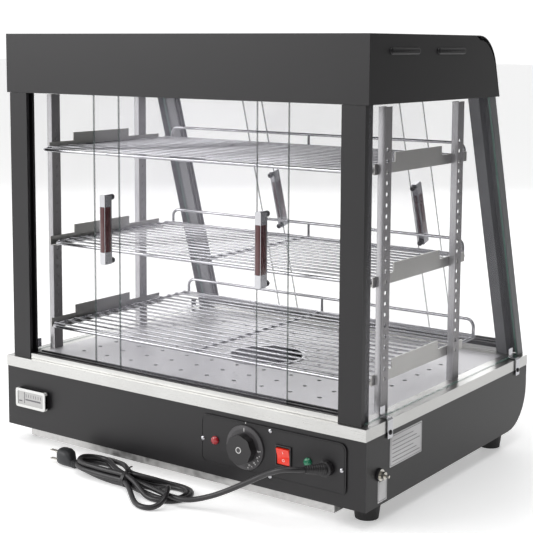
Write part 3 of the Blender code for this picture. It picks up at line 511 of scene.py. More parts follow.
def turned(profile: Sequence[Tuple[float, float]], centre: Sequence[float], axis: Sequence[float],
           steps: int = 32) -> Surface:
    """Turns a profile about an axis: the point at height h and radius r goes round as (r cos t, r sin t, h).

    Args:
        profile: (radius, height) pairs with rising height, with small radii at its two ends.
        centre: the axis's foot.
        axis: the direction of rising height.
        steps: points round the axis.

    Returns:
        The points and faces.
    """
    axis = np.asarray(axis, float) / np.linalg.norm(axis)
    helper = np.array((0.0, 0.0, 1.0)) if abs(axis[2]) < 0.9 else np.array((1.0, 0.0, 0.0))
    u = np.cross(helper, axis)
    u /= np.linalg.norm(u)
    v = np.cross(axis, u)
    t = np.linspace(0, 2 * np.pi, steps, endpoint=False)
    radius, height = np.array(profile, float).T
    rings = (np.asarray(centre, float) + height[:, None, None] * axis
             + radius[:, None, None] * (np.cos(t)[None, :, None] * u + np.sin(t)[None, :, None] * v))
    return lofted(rings)


def smoothed(points: Sequence[Sequence[float]], spacing: float) -> np.ndarray:
    """A Catmull-Rom curve through points, sampled evenly along its length.

    Between two points the curve is the cubic whose end slopes are half the chord between the neighbours.

    Args:
        points: the way points.
        spacing: distance between samples.

    Returns:
        An (n, 3) array.
    """
    p = np.asarray(points, float)
    p = np.vstack((2 * p[0] - p[1], p, 2 * p[-1] - p[-2]))
    t = np.linspace(0, 1, 16, endpoint=False)[None, :, None]
    a, b, c, d = (p[k:len(p) - 3 + k][:, None] for k in range(4))
    fine = 0.5 * (2 * b + (c - a) * t + (2 * a - 5 * b + 4 * c - d) * t ** 2 + (3 * b - a - 3 * c + d)
                  * t ** 3)
    fine = np.vstack((fine.reshape(-1, 3), p[-2]))
    run = np.concatenate(([0], np.cumsum(np.linalg.norm(np.diff(fine, axis=0), axis=1))))
    even = np.linspace(0, run[-1], int(run[-1] / spacing) + 1)
    return np.column_stack([np.interp(even, run, fine[:, k]) for k in range(3)])


def relaxed(route: np.ndarray, reach: float, spacing: float) -> np.ndarray:
    """Rounds a route's tight bends: each point becomes the bell-weighted mean of its neighbours.

    The weight falls as exp(-d * d / (2 * reach * reach)) with the distance d along the route. Both ends are
    carried on straight first, so the first and last points keep their places.

    Args:
        route: an evenly spaced (n, 3) array.
        reach: the bell's width along the route.
        spacing: the distance between points.

    Returns:
        The relaxed (n, 3) array.
    """
    wide = int(3 * reach / spacing)
    steps = np.arange(wide, 0, -1)[:, None]
    padded = np.vstack((2 * route[0] - route[steps[:, 0]], route, 2 * route[-1] - route[-1 - steps[::-1, 0]]))
    weights = np.exp(-0.5 * (np.arange(-wide, wide + 1) * spacing / reach) ** 2)
    weights /= weights.sum()
    return np.column_stack([np.convolve(padded[:, k], weights, "valid") for k in range(3)])


def add_piece(name: str, surface: Surface, body: str, finish: object, sharp: float = 35.0,
              replaces: Sequence[str] = (), leaning: bool = False) -> bpy.types.Object:
    """Makes a piece of the case from a surface.

    Args:
        name: the piece's name.
        surface: points in the maker's millimetres, and faces.
        body: the moving body that it rides on.
        finish: a Finish or PaneFinish.
        sharp: angle in degrees past which an edge stays crisp.
        replaces: CAD nodes that the piece stands for.
        leaning: whether the points are in the leaning rear frame.

    Returns:
        The new object.
    """
    points, faces = surface
    points = placed(leaned(points) if leaning else points)
    mesh = bpy.data.meshes.new(name)
    mesh.from_pydata(points.tolist(), [], faces)
    mesh.materials.append(finish.material())
    mesh.polygons.foreach_set("use_smooth", [True] * len(mesh.polygons))
    mesh.set_sharp_from_angle(angle=math.radians(sharp))
    mesh.update()
    made = linked(name, mesh)
    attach(made, body)
    if replaces:
        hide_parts(*replaces)
    LOG.info("%s: %d faces on %s", name, len(faces), body)
    return made


def lettering(name: str, words: Sequence[Tuple[str, float, float]], height: float, origin: Sequence[float],
              right: Sequence[float], up: Sequence[float], body: str) -> bpy.types.Object:
    """Printed figures as thin raised shapes on a face.

    Args:
        name: the piece's name.
        words: each word with its place along the face's right and up directions.
        height: letter height.
        origin: the face's origin.
        right: the reading direction.
        up: the letters' upward direction.
        body: the body that carries them.

    Returns:
        The new object.
    """
    parts = []
    right, up = np.asarray(right, float), np.asarray(up, float)
    out = np.cross(right, up)
    for word, x, y in words:
        curve = bpy.data.curves.new(name + "_letters", "FONT")
        curve.body, curve.size, curve.extrude = word, height, 0.04
        curve.align_x, curve.align_y = "CENTER", "CENTER"
        letters = linked(name + "_letters", curve)
        bpy.context.view_layer.update()
        shape = bpy.data.meshes.new_from_object(letters.evaluated_get(bpy.context.evaluated_depsgraph_get()))
        flat = np.zeros(len(shape.vertices) * 3)
        shape.vertices.foreach_get("co", flat)
        flat = flat.reshape(-1, 3)
        points = (np.asarray(origin, float) + (flat[:, :1] + x) * right + (flat[:, 1:2] + y) * up
                  + (flat[:, 2:] + 0.04) * out)
        parts.append((points, [list(p.vertices) for p in shape.polygons]))
        bpy.data.objects.remove(letters)
        bpy.data.meshes.remove(shape)
    return add_piece(name, joined(parts), body, WHITE_INK)


# ---------------------------------------------------------------- the frame's own parts


@dataclass
class CarriedParts:
    """CAD parts whose shape is right: each keeps its mesh and gets its real finish."""

    finishes: Dict[str, object] = field(default_factory=lambda: {
        "base_body": BLACK_COAT, "bottom_pan": ZINC, "deck_rim": BRUSHED_STEEL, "perforated_deck": DECK_STEEL,
        "water_pan": CHROME, "heating_element": HEATER_SHEATH, "thermostat_body": BLACK_ABS,
        "terminal_block": CERAMIC, "control_plate": BLACK_COAT, "dial_skirt": DIAL_ABS,
        "thermostat_knob": BLACK_ABS, "switch_body": BLACK_ABS, "power_rocker": ROCKER_PC,
        "red_lamp": RED_LENS, "green_lamp": GREEN_LENS, "cord_gland": BLACK_ABS, "thermometer": BLACK_ABS,
        "earth_terminal": NICKEL, "front_sill": BRUSHED_STEEL, "front_door_track": BLACK_ABS,
        "rear_sill": BRUSHED_STEEL, "rear_door_track": BLACK_ABS, "hood_shell": BLACK_COAT,
        # The hood ceiling is painted dark grey: painted shade under the hood.
        "hood_ceiling": CEILING_STEEL_PAINTED_SHADE, "lamp": LAMP_TUBE,
    })

    def dress(self) -> None:
        """Gives every carried CAD node its finish."""
        chosen = dict(self.finishes)
        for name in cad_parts:
            if name.startswith("foot_"):
                chosen[name] = RUBBER
            elif name.startswith("front_post"):
                chosen[name] = BLACK_COAT
            # The rear posts are black paint; their grey colour is a painted reflection.
            elif name.startswith("rear_post"):
                chosen[name] = BLACK_COAT_PAINTED_SHEEN
            elif name.startswith("bracket"):
                chosen[name] = BRACKET_STEEL
            elif name.startswith("side_glass"):
                chosen[name] = SIDE_GLASS
            elif "_door_" in name and "track" not in name:
                chosen[name] = DOOR_GLASS
            elif "_handle_" in name:
                chosen[name] = CHROME
        for name, finish in chosen.items():
            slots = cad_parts[name].data.materials
            slots.clear()
            slots.append(finish.material())
            LOG.info("%s: %s", name, finish.name)


# ---------------------------------------------------------------- cabinet


@dataclass
class ShelfUpright:
    """A shelf upright: a folded channel, open to the rear, with a ladder of round holes in both its sides."""

    side: str
    end: str
    front: float
    rear: float
    hole_line: float
    inner: float = 298.0
    outer: float = 308.0
    sheet: float = 1.2
    low: float = 110.8
    high: float = 519.0
    pitch: float = 14.6
    first_hole: float = 156.1
    hole_radius: float = 3.1
    holes: int = 22

    def perforated(self, near: float, far: float) -> Surface:
        """One side as a stack of cells, each with a round hole.

        A cell's skin is a ring of points: from the hole's circle on one face to the cell's border, over to
        the other face's border and back to its circle, closed on itself, so the sheet has real holes.

        Args:
            near: the sheet's inner face.
            far: its outer face.

        Returns:
            The points and faces, one closed skin per cell and one plate for each end.
        """
        around = 24
        t = np.linspace(0, 2 * np.pi, around, endpoint=False) + np.pi / 4
        circle = np.column_stack((np.cos(t), np.sin(t)))
        square = circle / np.abs(circle).max(axis=1)[:, None]
        reach = np.array(((self.rear - self.front) / 2, self.pitch / 2))
        parts = []
        for index in range(self.holes):
            level = self.first_hole + index * self.pitch
            border = square * reach + ((self.front + self.rear) / 2, level)
            hole = circle * self.hole_radius + (self.hole_line, level)
            rings = np.stack([np.column_stack((np.full(around, x), ring))
                              for x, ring in ((near, hole), (near, border), (far, border), (far, hole))])
            parts.append(lofted(rings, True))
        top = self.first_hole + (self.holes - 0.5) * self.pitch
        for low, high in ((self.low, self.first_hole - self.pitch / 2), (top, self.high)):
            plate = rectangle((self.front, low), (self.rear, high))
            parts.append(pressed(plate, ((near, 0), (far, 0)), 0))
        return joined(parts)

    def build(self) -> None:
        """Makes the upright's two sides and its face in place of its CAD node."""
        sides = joined([self.perforated(self.inner, self.inner + self.sheet),
                        self.perforated(self.outer - self.sheet, self.outer)])
        strip = rounded((self.inner - 0.05, self.front - 0.05), (self.outer + 0.05, self.front + self.sheet),
                        0.5, 3)
        face = pressed(strip, ((self.low, 0), (self.high, 0)), 2)
        name = "upright_{}_{}".format(self.side, self.end)
        # The sides get the darker copy of the sheet: painted shade inside the channels.
        for label, surface, finish in (("sides", sides, UPRIGHT_SIDE_PAINTED_SHADE), ("face", face, UPRIGHT_STEEL)):
            add_piece("{}_{}".format(name, label), sided(surface, self.side), "case", finish,
                      replaces=(name,) if label == "sides" else ())


@dataclass
class WireShelf:
    """A chromed wire shelf: a bent rod frame, cross wires on it, a centre bar and a rear guard rail."""

    level: str
    height: float
    front: float
    rear: float
    lift: float
    half: float = 289.0
    rod: float = 2.7
    wire: float = 1.5
    pitch: float = 21.5
    corner: float = 14.0

    def build(self) -> bpy.types.Object:
        """Makes the shelf in place of its CAD node."""
        height = self.height + 0.3
        outline = rounded((-self.half, self.front), (self.half, self.rear), self.corner, 8)
        loop = np.column_stack((outline, np.full(len(outline), height)))
        parts = [tube(loop, self.rod, (0, 0, 1), 12, True)]
        count = int((self.rear - self.front - 14) / self.pitch)
        start = (self.front + self.rear - count * self.pitch) / 2
        level = height + self.rod + self.wire * 0.3
        ends = np.array((-self.half - 1, 1 - self.half, 0, self.half - 1, self.half + 1))
        swell = np.array((0.6, 1, 1, 1, 0.6)) * self.wire
        for index in range(count + 1):
            line = np.column_stack((ends, np.full(5, start + index * self.pitch), np.full(5, level)))
            parts.append(tube(line, swell, (0, 0, 1), 10))
        bar = np.array(((0, self.front, height), (0, (self.front + self.rear) / 2, height),
                        (0, self.rear, height)))
        parts.append(tube(bar, 2.4, (0, 0, 1), 10))
        bend, line, right = 12.0, self.rear - 0.6, self.half - 6
        t = np.linspace(0, np.pi / 2, 8)
        arc = np.column_stack((right - bend + bend * np.cos(t), np.full(8, line),
                               height + self.lift - bend + bend * np.sin(t)))
        rail = np.vstack(((right, line, height), arc, arc[::-1] * (-1, 1, 1), (-right, line, height)))
        parts.append(tube(rail, 2.5, (0, 1, 0), 12))
        post = np.array(((4, line, height), (4, line, height + self.lift / 2), (4, line, height + self.lift)))
        parts.append(tube(post, 2.1, (0, 1, 0), 10))
        return add_piece("wire_shelf_" + self.level, joined(parts), self.level + "_shelf", CHROME,
                         50, ("shelf_" + self.level,))


@dataclass
class DoorGrip:
    """The lacquered grip over the middle of a door handle, with the dark nuts on the glass's other side."""

    name: str
    body: str
    x: float
    plane: float
    middle: float
    outwards: int
    leaning: bool
    half_length: float = 34.0
    width: float = 10.8
    depth: float = 15.7
    nut_radius: float = 4.3
    bolt_pitch: float = 94.7

    def build(self) -> None:
        """Makes the grip and its nuts."""
        foot = self.plane + self.outwards * 2.5
        near, far = sorted((foot, foot + self.outwards * self.depth))
        outline = rounded((self.x - self.width / 2, near - 0.3), (self.x + self.width / 2, far + 0.3), 3.6, 6)
        low, high = self.middle - self.half_length, self.middle + self.half_length
        stations = ((low, 0.8), (low + 0.6, 0.15), (low + 1.4, 0), (high - 1.4, 0), (high - 0.6, 0.15),
                    (high, 0.8))
        add_piece("grip_" + self.name, pressed(outline, stations, 2), self.body,
                  LACQUERED_GRIP, leaning=self.leaning)
        nuts = []
        for sign in (-1, 1):
            centre = (self.x, self.plane - self.outwards * 2.2, self.middle + sign * self.bolt_pitch / 2)
            profile = ((0.3, 0), (self.nut_radius, 0), (self.nut_radius, 2.2), (self.nut_radius * 0.8, 3.4),
                       (2.0, 4.0), (0.3, 4.1))
            nuts.append(turned(profile, centre, (0, -self.outwards, 0), 20))
        add_piece("nuts_" + self.name, joined(nuts), self.body, DARK_ZINC,
                  leaning=self.leaning)


@dataclass
class GlassClips:
    """Bent plated straps that hold the side glass down over the rim."""

    spots: Tuple[float, ...] = (58.0, 455.0)
    width: float = 13.0
    thickness: float = 1.1
    screw_wall: float = 332.4
    screw_level: float = 94.0

    def build(self) -> None:
        """Makes the straps and their screws on both sides."""
        line = np.array(((318.9, 127.0), (318.9, 113.6), (320.4, 112.1), (330.2, 112.1), (331.4, 110.9),
                         (331.4, 86.0)))
        along = np.gradient(line, axis=0)
        normal = np.column_stack((-along[:, 1], along[:, 0])) / np.linalg.norm(along, axis=1)[:, None]
        strip = np.vstack((line, (line + normal * self.thickness)[::-1]))
        head = ((0.3, 0), (3.4, 0), (3.3, 0.9), (2.4, 1.9), (0.3, 2.2))
        straps = [pressed(strip[::-1], ((y - self.width / 2, 0), (y + self.width / 2, 0)),
                          1) for y in self.spots]
        screws = [turned(head, (self.screw_wall, y, self.screw_level), (1, 0, 0), 20) for y in self.spots]
        for side in SIDES:
            for label, parts, finish in (("clip_straps_", straps, CHROME),
                                         ("clip_screws_", screws, DARK_ZINC)):
                add_piece(label + side, sided(joined(parts), side), "case", finish)


@dataclass
class HoodPressings:
    """Two oblong raised pressings in each end plate of the hood."""

    spans: Tuple[Tuple[float, float], ...] = ((55.0, 133.4), (183.0, 265.0))
    level: float = 591.0
    height: float = 10.0
    wall: float = 324.25
    rise: float = 2.4

    def build(self) -> None:
        """Makes the pressings on both end plates."""
        for side in SIDES:
            parts = []
            for front, rear in self.spans:
                outline = rounded((front, self.level - self.height / 2), (rear, self.level + self.height / 2),
                                  self.height / 2 - 0.01, 8)
                stations = ((self.wall - 0.4, 0), (self.wall + 0.1, 0), (self.wall + self.rise * 0.6, 0.8),
                            (self.wall + self.rise * 0.95, 2.0), (self.wall + self.rise, 3.2))
                parts.append(pressed(outline, stations, 0))
            add_piece("hood_pressings_" + side, sided(joined(parts), side), "case",
                      BLACK_COAT, 60)


# ---------------------------------------------------------------- base fittings


def framed(outer: np.ndarray, inner: np.ndarray, low: float, high: float, axis: int) -> Surface:
    """A flat ring between two outlines with the same number of points, carried along an axis.

    Args:
        outer: the outer outline, anticlockwise.
        inner: the inner outline, anticlockwise.
        low: the ring's back face.
        high: the ring's front face.
        axis: the axis that it is carried along.

    Returns:
        The points and faces of a ring closed on itself.
    """
    others = [k for k in range(3) if k != axis]
    rings = np.zeros((4, len(outer), 3))
    for row, (outline, level) in enumerate(((outer, low), (outer, high), (inner, high), (inner, low))):
        rings[row][:, others] = outline
        rings[row][:, axis] = level
    flip = (axis == 1) != (high < low)
    return lofted(rings[:, ::-1] if flip else rings, True)


@dataclass
class ControlPanel:
    """What stands on the control plate: its pressed border, four screws, dial marks and rocker marks."""

    low: Tuple[float, float] = (63.0, 18.0)
    high: Tuple[float, float] = (299.0, 84.5)
    face: float = -0.5
    bead: float = 1.1
    screws: Tuple[Tuple[float, float], ...] = ((65.5, 50.7), (181.0, 82.2), (294.6, 50.7), (181.0, 19.4))
    dial: Tuple[float, float] = (139.4, 51.5)
    rocker: Tuple[float, float, float] = (203.0, 1.0, 51.5)
    rocker_tip: float = math.radians(10)
    boot_foot: Tuple[float, float, float] = (272.0, -6.5, 49.5)
    boot_length: float = 28.0
    boot_radii: Tuple[float, float] = (8.0, 5.0)
    ribs: int = 9
    gland_foot: Tuple[float, float, float] = (272.0, -0.6, 49.5)
    skirt_face: float = -4.4
    knob_face: float = -17.0

    def build(self) -> None:
        """Makes all the fittings."""
        outer = rounded(self.low, self.high, 9.0, 8)
        inner = rounded(np.add(self.low, self.bead), np.subtract(self.high, self.bead), 9.0 - self.bead, 8)
        add_piece("plate_bead", framed(outer, inner, self.face + 0.1, self.face - 0.5, 1), "case",
                  BLACK_COAT)
        heads = [turned(((0.3, 0), (3.3, 0), (3.2, 0.9), (2.5, 1.8), (1.2, 2.3), (0.3, 2.4)),
                        (x, self.face, z), (0, -1, 0), 24) for x, z in self.screws]
        add_piece("plate_screws", joined(heads), "case", CHROME, 60)
        self.dial_marks()
        self.rocker_marks()
        self.strain_relief()

    def dial_marks(self) -> None:
        """Printed marks on the dial's skirt, the ring on the knob and the tick on the plate."""
        x, z = self.dial
        skirt = self.skirt_face
        ticks = [self.tick(x, z, skirt, math.radians(angle), 28.0 - length, 28.2, 0.9)
                 for angle, length in [(90, 5.0)] + [(angle, 1.6) for angle in range(0, -76, -15)]]
        add_piece("dial_ticks", joined(ticks), "dial", WHITE_INK)
        words = [(text, 24.3 * math.cos(math.radians(angle)), 24.3 * math.sin(math.radians(angle)))
                 for text, angle in (("90", -2), ("70", -24), ("50", -46), ("30", -68))]
        lettering("dial_figures", words, 3.6, (x, skirt, z), (1, 0, 0), (0, 0, 1), "dial")
        ring = turned(((0.3, -0.1), (4.4, -0.1), (4.4, 0.35), (3.6, 0.35), (3.4, 0.1), (0.3, 0.1)),
                      (x, self.knob_face, z), (0, -1, 0), 32)
        add_piece("knob_ring", ring, "dial", WHITE_INK)
        cap = turned(((0.3, 0.0), (3.3, 0.0), (3.2, 0.5), (2.2, 0.75), (0.3, 0.85)), (x, self.knob_face, z),
                     (0, -1, 0), 32)
        add_piece("knob_cap", cap, "dial", DIAL_ABS)
        plate_tick = self.tick(x, z, self.face, math.radians(90), 33.0, 35.4, 0.9)
        add_piece("plate_tick", plate_tick, "case", WHITE_INK)

    @staticmethod
    def tick(x: float, z: float, face: float, angle: float, start: float, end: float,
             width: float) -> Surface:
        """A printed line that points away from a centre.

        Args:
            x: the centre's place across.
            z: the centre's height.
            face: the face's place in depth.
            angle: the line's direction.
            start: its inner radius.
            end: its outer radius.
            width: its width.

        Returns:
            The points and faces.
        """
        along = np.array((math.cos(angle), math.sin(angle)))
        across = np.array((-along[1], along[0])) * width / 2
        corners = np.array((along * start - across, along * end - across, along * end + across,
                            along * start + across)) + (x, z)
        return pressed(corners, ((face + 0.02, 0), (face - 0.1, 0)), 1, -1)

    def rocker_marks(self) -> None:
        """The I and O marks on the two halves of the rocker."""
        x, y, z = self.rocker
        c, s = math.cos(self.rocker_tip), math.sin(self.rocker_tip)
        for name, half, text in (("rocker_on_mark", -1, "I"), ("rocker_off_mark", 1, "O")):
            depth, height = -3.4, half * -5.6
            slope = math.atan(1.2 / 11.3) * (1 if height > 0 else -1) + self.rocker_tip
            centre = (x, y + depth * c - height * s, z + depth * s + height * c)
            up = (0, -math.sin(slope), math.cos(slope))
            lettering(name, [(text, 0.0, 0.0)], 5.6, centre, (1, 0, 0), up, "rocker")

    def strain_relief(self) -> None:
        """The ribbed, tapered boot: its radius falls along its length with a small ripple of nine ribs."""
        t = np.linspace(0.04, 0.985, 90)
        near, far = self.boot_radii
        run = t * self.boot_length
        radius = near + (far - near) * t + 0.45 * np.maximum(0, np.cos(t * self.ribs * 2 * np.pi))
        profile = [(4.2, run[0]), *zip(radius, run), (4.2, run[-1])]
        add_piece("strain_relief_ribs", turned(profile, self.boot_foot, BOOT_LINE, 24), "case",
                  BLACK_ABS, 50)
        nut = [(5.0, 0.4), (9.6, 0.4), (10.8, 1.2), (10.8, 7.4), (9.6, 8.4), (5.0, 8.4)]
        add_piece("gland_nut_ring", turned(nut, self.gland_foot, (0, -1, 0), 10), "case",
                  BLACK_ABS, 25)


@dataclass
class Thermometer:
    """A flush thermometer with a pale frame, a blank card and plain scale marks."""

    low: Tuple[float, float] = (-303.5, 34.5)
    high: Tuple[float, float] = (-240.0, 64.0)
    front: float = -6.0

    def build(self) -> None:
        """Makes the frame, the card and its marks."""
        outer = rounded(self.low, self.high, 4.0, 6)
        inner = rounded(np.add(self.low, 4.2), np.subtract(self.high, 4.2), 1.6, 6)
        add_piece("thermometer_frame", framed(outer, inner, self.front + 4.5, self.front - 1.4, 1), "case",
                  WHITE_ACETAL)
        card = rounded(np.add(self.low, 4.0), np.subtract(self.high, 4.0), 1.6, 4)
        add_piece("thermometer_card", pressed(card, ((self.front + 0.1, 0), (self.front - 0.3, 0)), 1, -1),
                  "case", DIAL_CARD)
        spans = [((x - 0.5, 51.0), (x + 0.5, 56.0)) for x in np.linspace(self.low[0] + 22, self.high[0] - 10,
                                                                         7)]
        spans += [((-286.0, 41.0), (-284.6, 58.5)), ((-283.0, 46.0), (-250.0, 48.4)),
                  ((-297.0, 43.0), (-290.0, 45.0))]
        raised = ((self.front - 0.2, 0), (self.front - 0.45, 0))
        marks = [pressed(rectangle(low, high), raised, 1, -1) for low, high in spans]
        add_piece("thermometer_marks", joined(marks), "case", RULE_INK)


@dataclass
class SidePlates:
    """The blank rating plate and small blank label on the right side, and the earth terminal's washer."""

    wall: float = 329.8

    def build(self) -> None:
        """Makes the plates with ruled lines and the washer."""
        for name, low, high, rules in (("rating_plate", (62.0, 44.0), (148.5, 87.5), 6),
                                       ("small_plate", (32.0, 4.0), (55.0, 34.0), 0)):
            outline = rounded(low, high, 1.0, 4)
            add_piece(name, pressed(outline, ((self.wall, 0), (self.wall + 0.35, 0),
                                              (self.wall + 0.45, 0.2)), 0),
                      "case", PLATE_FOIL)
            inner = rounded(np.add(low, 2.2), np.subtract(high, 2.2), 0.6, 4)
            outer = rounded(np.add(low, 1.6), np.subtract(high, 1.6), 0.8, 4)
            parts = [framed(outer, inner, self.wall + 0.4, self.wall + 0.55, 0)]
            for row in range(rules):
                level = low[1] + 6.2 + row * (high[1] - low[1] - 10) / rules
                line = rectangle((low[0] + 6, level), (high[0] - 6 - 9 * (row % 3), level + 0.9))
                parts.append(pressed(line, ((self.wall + 0.4, 0), (self.wall + 0.55, 0)), 0))
            add_piece(name + "_rules", joined(parts), "case", RULE_INK)
        washer = turned(((2.3, 0), (8.6, 0), (8.6, 2.6), (7.6, 3.2), (2.3, 3.2)),
                        (self.wall + 0.2, 35.0, 42.5), (1, 0, 0), 32)
        add_piece("earth_washer", washer, "case", BLACK_ABS)


# ---------------------------------------------------------------- mains cord


@dataclass
class MainsCord:
    """The mains lead: out of its gland, down to the counter and into a tied hank that ends in its plug."""

    radius: float = 3.75
    length: float = 1.9
    exit: Tuple[float, float, float] = (255.8, -29.9, 52.0)
    lead: Tuple[Tuple[float, float, float], ...] = (
        (251.2, -37.2, 52.8), (244.5, -43.5, 53.4), (234.5, -48.0, 52.5), (221.5, -50.0, 47.7),
        (204.0, -48.5, 39.0), (187.5, -50.0, 29.5), (171.0, -51.5, 20.0), (151.0, -54.0, 9.0),
        (131.0, -57.5, -1.0), (113.0, -62.0, -8.0), (99.5, -66.0, -12.0), (90.0, -69.0, -13.4))
    # The hank, strand by strand: seven runs pass through the tie at x = -28 and fold at both ends.
    hank: Tuple[Tuple[float, float, float], ...] = (
        (75, -71, -13.5), (58, -70, -13.5), (44, -66.5, -13.5), (28, -62.5, -13.5), (10, -59.5, -13.3),
        (-9, -57.2, -13), (-28, -55.5, -12.9),
        (-50, -55.5, -13.1), (-72, -55.2, -13.3), (-92, -54.6, -13.3), (-110, -53.5, -13.3),
        (-124.5, -47.5, -13.3),
        (-131.2, -33, -15.5), (-125.5, -15.5, -19.5), (-110, -8.5, -20.8), (-92, -17, -20.8),
        (-72, -31, -20.8), (-50, -43, -20.3),
        (-28, -51.6, -19.6),
        (-12, -49.5, -20.6), (5, -46, -20.8), (22, -43.5, -19.5), (37, -47, -14.5), (49, -56.5, -8.5),
        (58, -69, -5.8), (66, -83, -9.5), (67, -94, -16), (59.5, -104, -20.8), (46, -108.5, -21.1),
        (32, -104.5, -21.1), (17, -94, -21), (2, -81.5, -19.5), (-13, -70.5, -15.8),
        (-28, -63.2, -12.9),
        (-50, -63, -13.2), (-72, -62.6, -13.3), (-92, -62, -13.3), (-109, -61, -13.3), (-128, -53, -12.8),
        (-138.2, -33, -12.6), (-130.5, -10, -15), (-110, -1.5, -16.5), (-86, -8.5, -14), (-66, -20, -10),
        (-47, -34.5, -7.2), (-28, -47.5, -6.2), (-10, -46, -7.5), (7, -36, -12), (23, -24, -18),
        (44, -17, -21), (65, -25.5, -21.1), (74, -47, -21.1),
        (65, -68.5, -21.1), (44, -77.2, -21.1), (26, -76.2, -20.3), (8, -70, -14.5), (-10, -63.8, -8.5),
        (-28, -59.3, -6.2),
        (-50, -59.2, -6.5), (-72, -59, -6.8), (-92, -58.3, -6.8), (-109, -57.3, -6.8), (-126, -50.5, -6.8),
        (-134.7, -33, -7.4), (-127.5, -15, -11.5), (-110, -9.5, -13.3), (-92, -18.5, -13.3),
        (-71, -31.5, -13.2), (-49, -41.5, -13),
        (-28, -47.8, -12.9),
        (-12, -42.5, -15.7), (5, -36, -19), (22, -28.6, -21), (44, -24.5, -21.1), (60, -31, -21.1),
        (66.5, -47, -21.1), (60, -63, -21.1), (44, -69.6, -21.1), (26, -67.8, -21), (8, -64.6, -20.8),
        (-10, -61.3, -20.1),
        (-28, -59.3, -19.6),
        (-50, -58.6, -20.6), (-72, -56.5, -20.8), (-92, -52.8, -20.8), (-112, -47.8, -20.8),
        (-128, -43.8, -20.2), (-139.5, -42, -19.2), (-150, -41.5, -18.2))
    spacing: float = 2.5
    relax: float = 5.0
    tie_x: float = -28.0
    tie_centre: Tuple[float, float] = (-55.5, -12.9)
    tie_reach: Tuple[float, float] = (12.3, 11.2)

    def build(self) -> None:
        """Makes the cord, its tie and its plug."""
        plug = self.plug_body()
        blades = self.plug_blades()
        tie = self.tie()
        first = np.array(self.exit)
        boot = np.array(BOOT_LINE)
        points = [tuple(first - boot * 6), tuple(first), *self.lead, *self.hank]
        route = placed(relaxed(smoothed(points, self.spacing), self.relax, self.spacing))
        curve = bpy.data.curves.new("mains_cord", "CURVE")
        curve.dimensions = "3D"
        curve.bevel_depth = self.radius * MM
        curve.bevel_resolution = 4
        curve.use_fill_caps = True
        spline = curve.splines.new("POLY")
        spline.points.add(len(route) - 1)
        spline.points.foreach_set("co", np.column_stack((route, np.ones(len(route)))).ravel())
        spline.use_smooth = True
        curve.materials.append(CORD_PVC.material())
        cord = linked("mains_cord", curve)
        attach(cord, "case")
        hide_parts("cord_lead", "cord_hank")
        measured = float(np.linalg.norm(np.diff(route, axis=0), axis=1).sum())
        LOG.info("mains_cord: %.3f m along its middle", measured)

    def plug_body(self) -> bpy.types.Object:
        """The moulded plug: rounded-box sections carried from the blades' face to the ribbed neck.

        A section's point at angle t is the centre plus half the width times cos t and half the height times
        sin t, each raised to the power 2/3, which squares the oval.

        Returns:
            The plug's object.
        """
        stations = np.array(((-176.0, -37.0, -12.3, 9.6, 10.6), (-175.0, -37.0, -12.3, 10.8, 11.8),
                             (-170.0, -37.0, -12.3, 11.8, 12.2), (-162.0, -37.4, -12.4, 12.4, 12.2),
                             (-155.5, -38.4, -13.2, 11.0, 11.2), (-150.5, -40.0, -15.4, 8.4, 8.8),
                             (-147.0, -41.2, -17.6, 6.6, 6.4), (-146.2, -41.4, -17.9, 5.6, 5.4),
                             (-145.4, -41.5, -18.1, 6.4, 6.0), (-143.8, -41.7, -18.5, 6.3, 5.9),
                             (-143.0, -41.7, -18.6, 5.3, 5.1), (-142.2, -41.8, -18.7, 6.0, 5.6),
                             (-140.6, -41.9, -18.9, 5.8, 5.4), (-139.8, -42.0, -19.0, 4.6, 4.6),
                             (-138.6, -42.0, -19.1, 4.5, 4.5)))
        t = np.linspace(0, 2 * np.pi, 32, endpoint=False)
        power = 2 / 3
        wide = np.sign(np.cos(t)) * np.abs(np.cos(t)) ** power
        tall = np.sign(np.sin(t)) * np.abs(np.sin(t)) ** power
        x, y, z, half_width, half_height = (stations[:, k][:, None] for k in range(5))
        rings = np.stack((x + 0 * wide[None], y + half_width * wide[None], z + half_height * tall[None]),
                         axis=-1)
        return add_piece("moulded_plug", lofted(rings), "case", PLUG_PVC, 50,
                         ("cord_plug",))

    def plug_blades(self) -> bpy.types.Object:
        """The plug's two flat blades and its round earth pin."""
        parts = []
        for level in (-5.3, -18.0):
            outline = rounded((-45.2, level - 0.75), (-38.8, level + 0.75), 0.6, 3)
            parts.append(pressed(outline, ((-192.0, 0.5), (-191.2, 0), (-174.0, 0)), 0))
        parts.append(turned(((0.3, 0), (1.6, 0.6), (2.3, 2.0), (2.4, 19.0), (0.3, 19.0)),
                            (-193.0, -31.0, -11.7), (1, 0, 0), 20))
        return add_piece("plug_blades", joined(parts), "case", NICKEL)

    def tie(self) -> bpy.types.Object:
        """A flat black tie round the seven strands, with its two twisted ends standing up."""
        t = np.linspace(0, 2 * np.pi, 48, endpoint=False)
        reach, rise = self.tie_reach
        centre_y, centre_z = self.tie_centre
        half, thick = 2.6, 0.55
        rings = []
        for across, out in ((-half, thick), (half, thick), (half, -thick), (-half, -thick)):
            rings.append(np.column_stack((np.full(len(t), self.tie_x + across), centre_y + (reach + out)
                                          * np.cos(t), centre_z + (rise + out) * np.sin(t))))
        band = lofted(np.stack(rings), True)
        ends = [tube(smoothed(points, 1.0), 1.1, (0.3, 1, 0.2), 8)
                for points in (((-28, -55, -1.6), (-27, -54, 1.5), (-24, -53.5, 4.5), (-20, -54, 6.5)),
                               ((-28, -56, -1.6), (-29, -56, 1.5), (-32, -54, 4.0), (-36, -51, 5.0)))]
        return add_piece("cord_tie", joined([band, *ends]), "case", BLACK_ABS)


# ---------------------------------------------------------------- studio


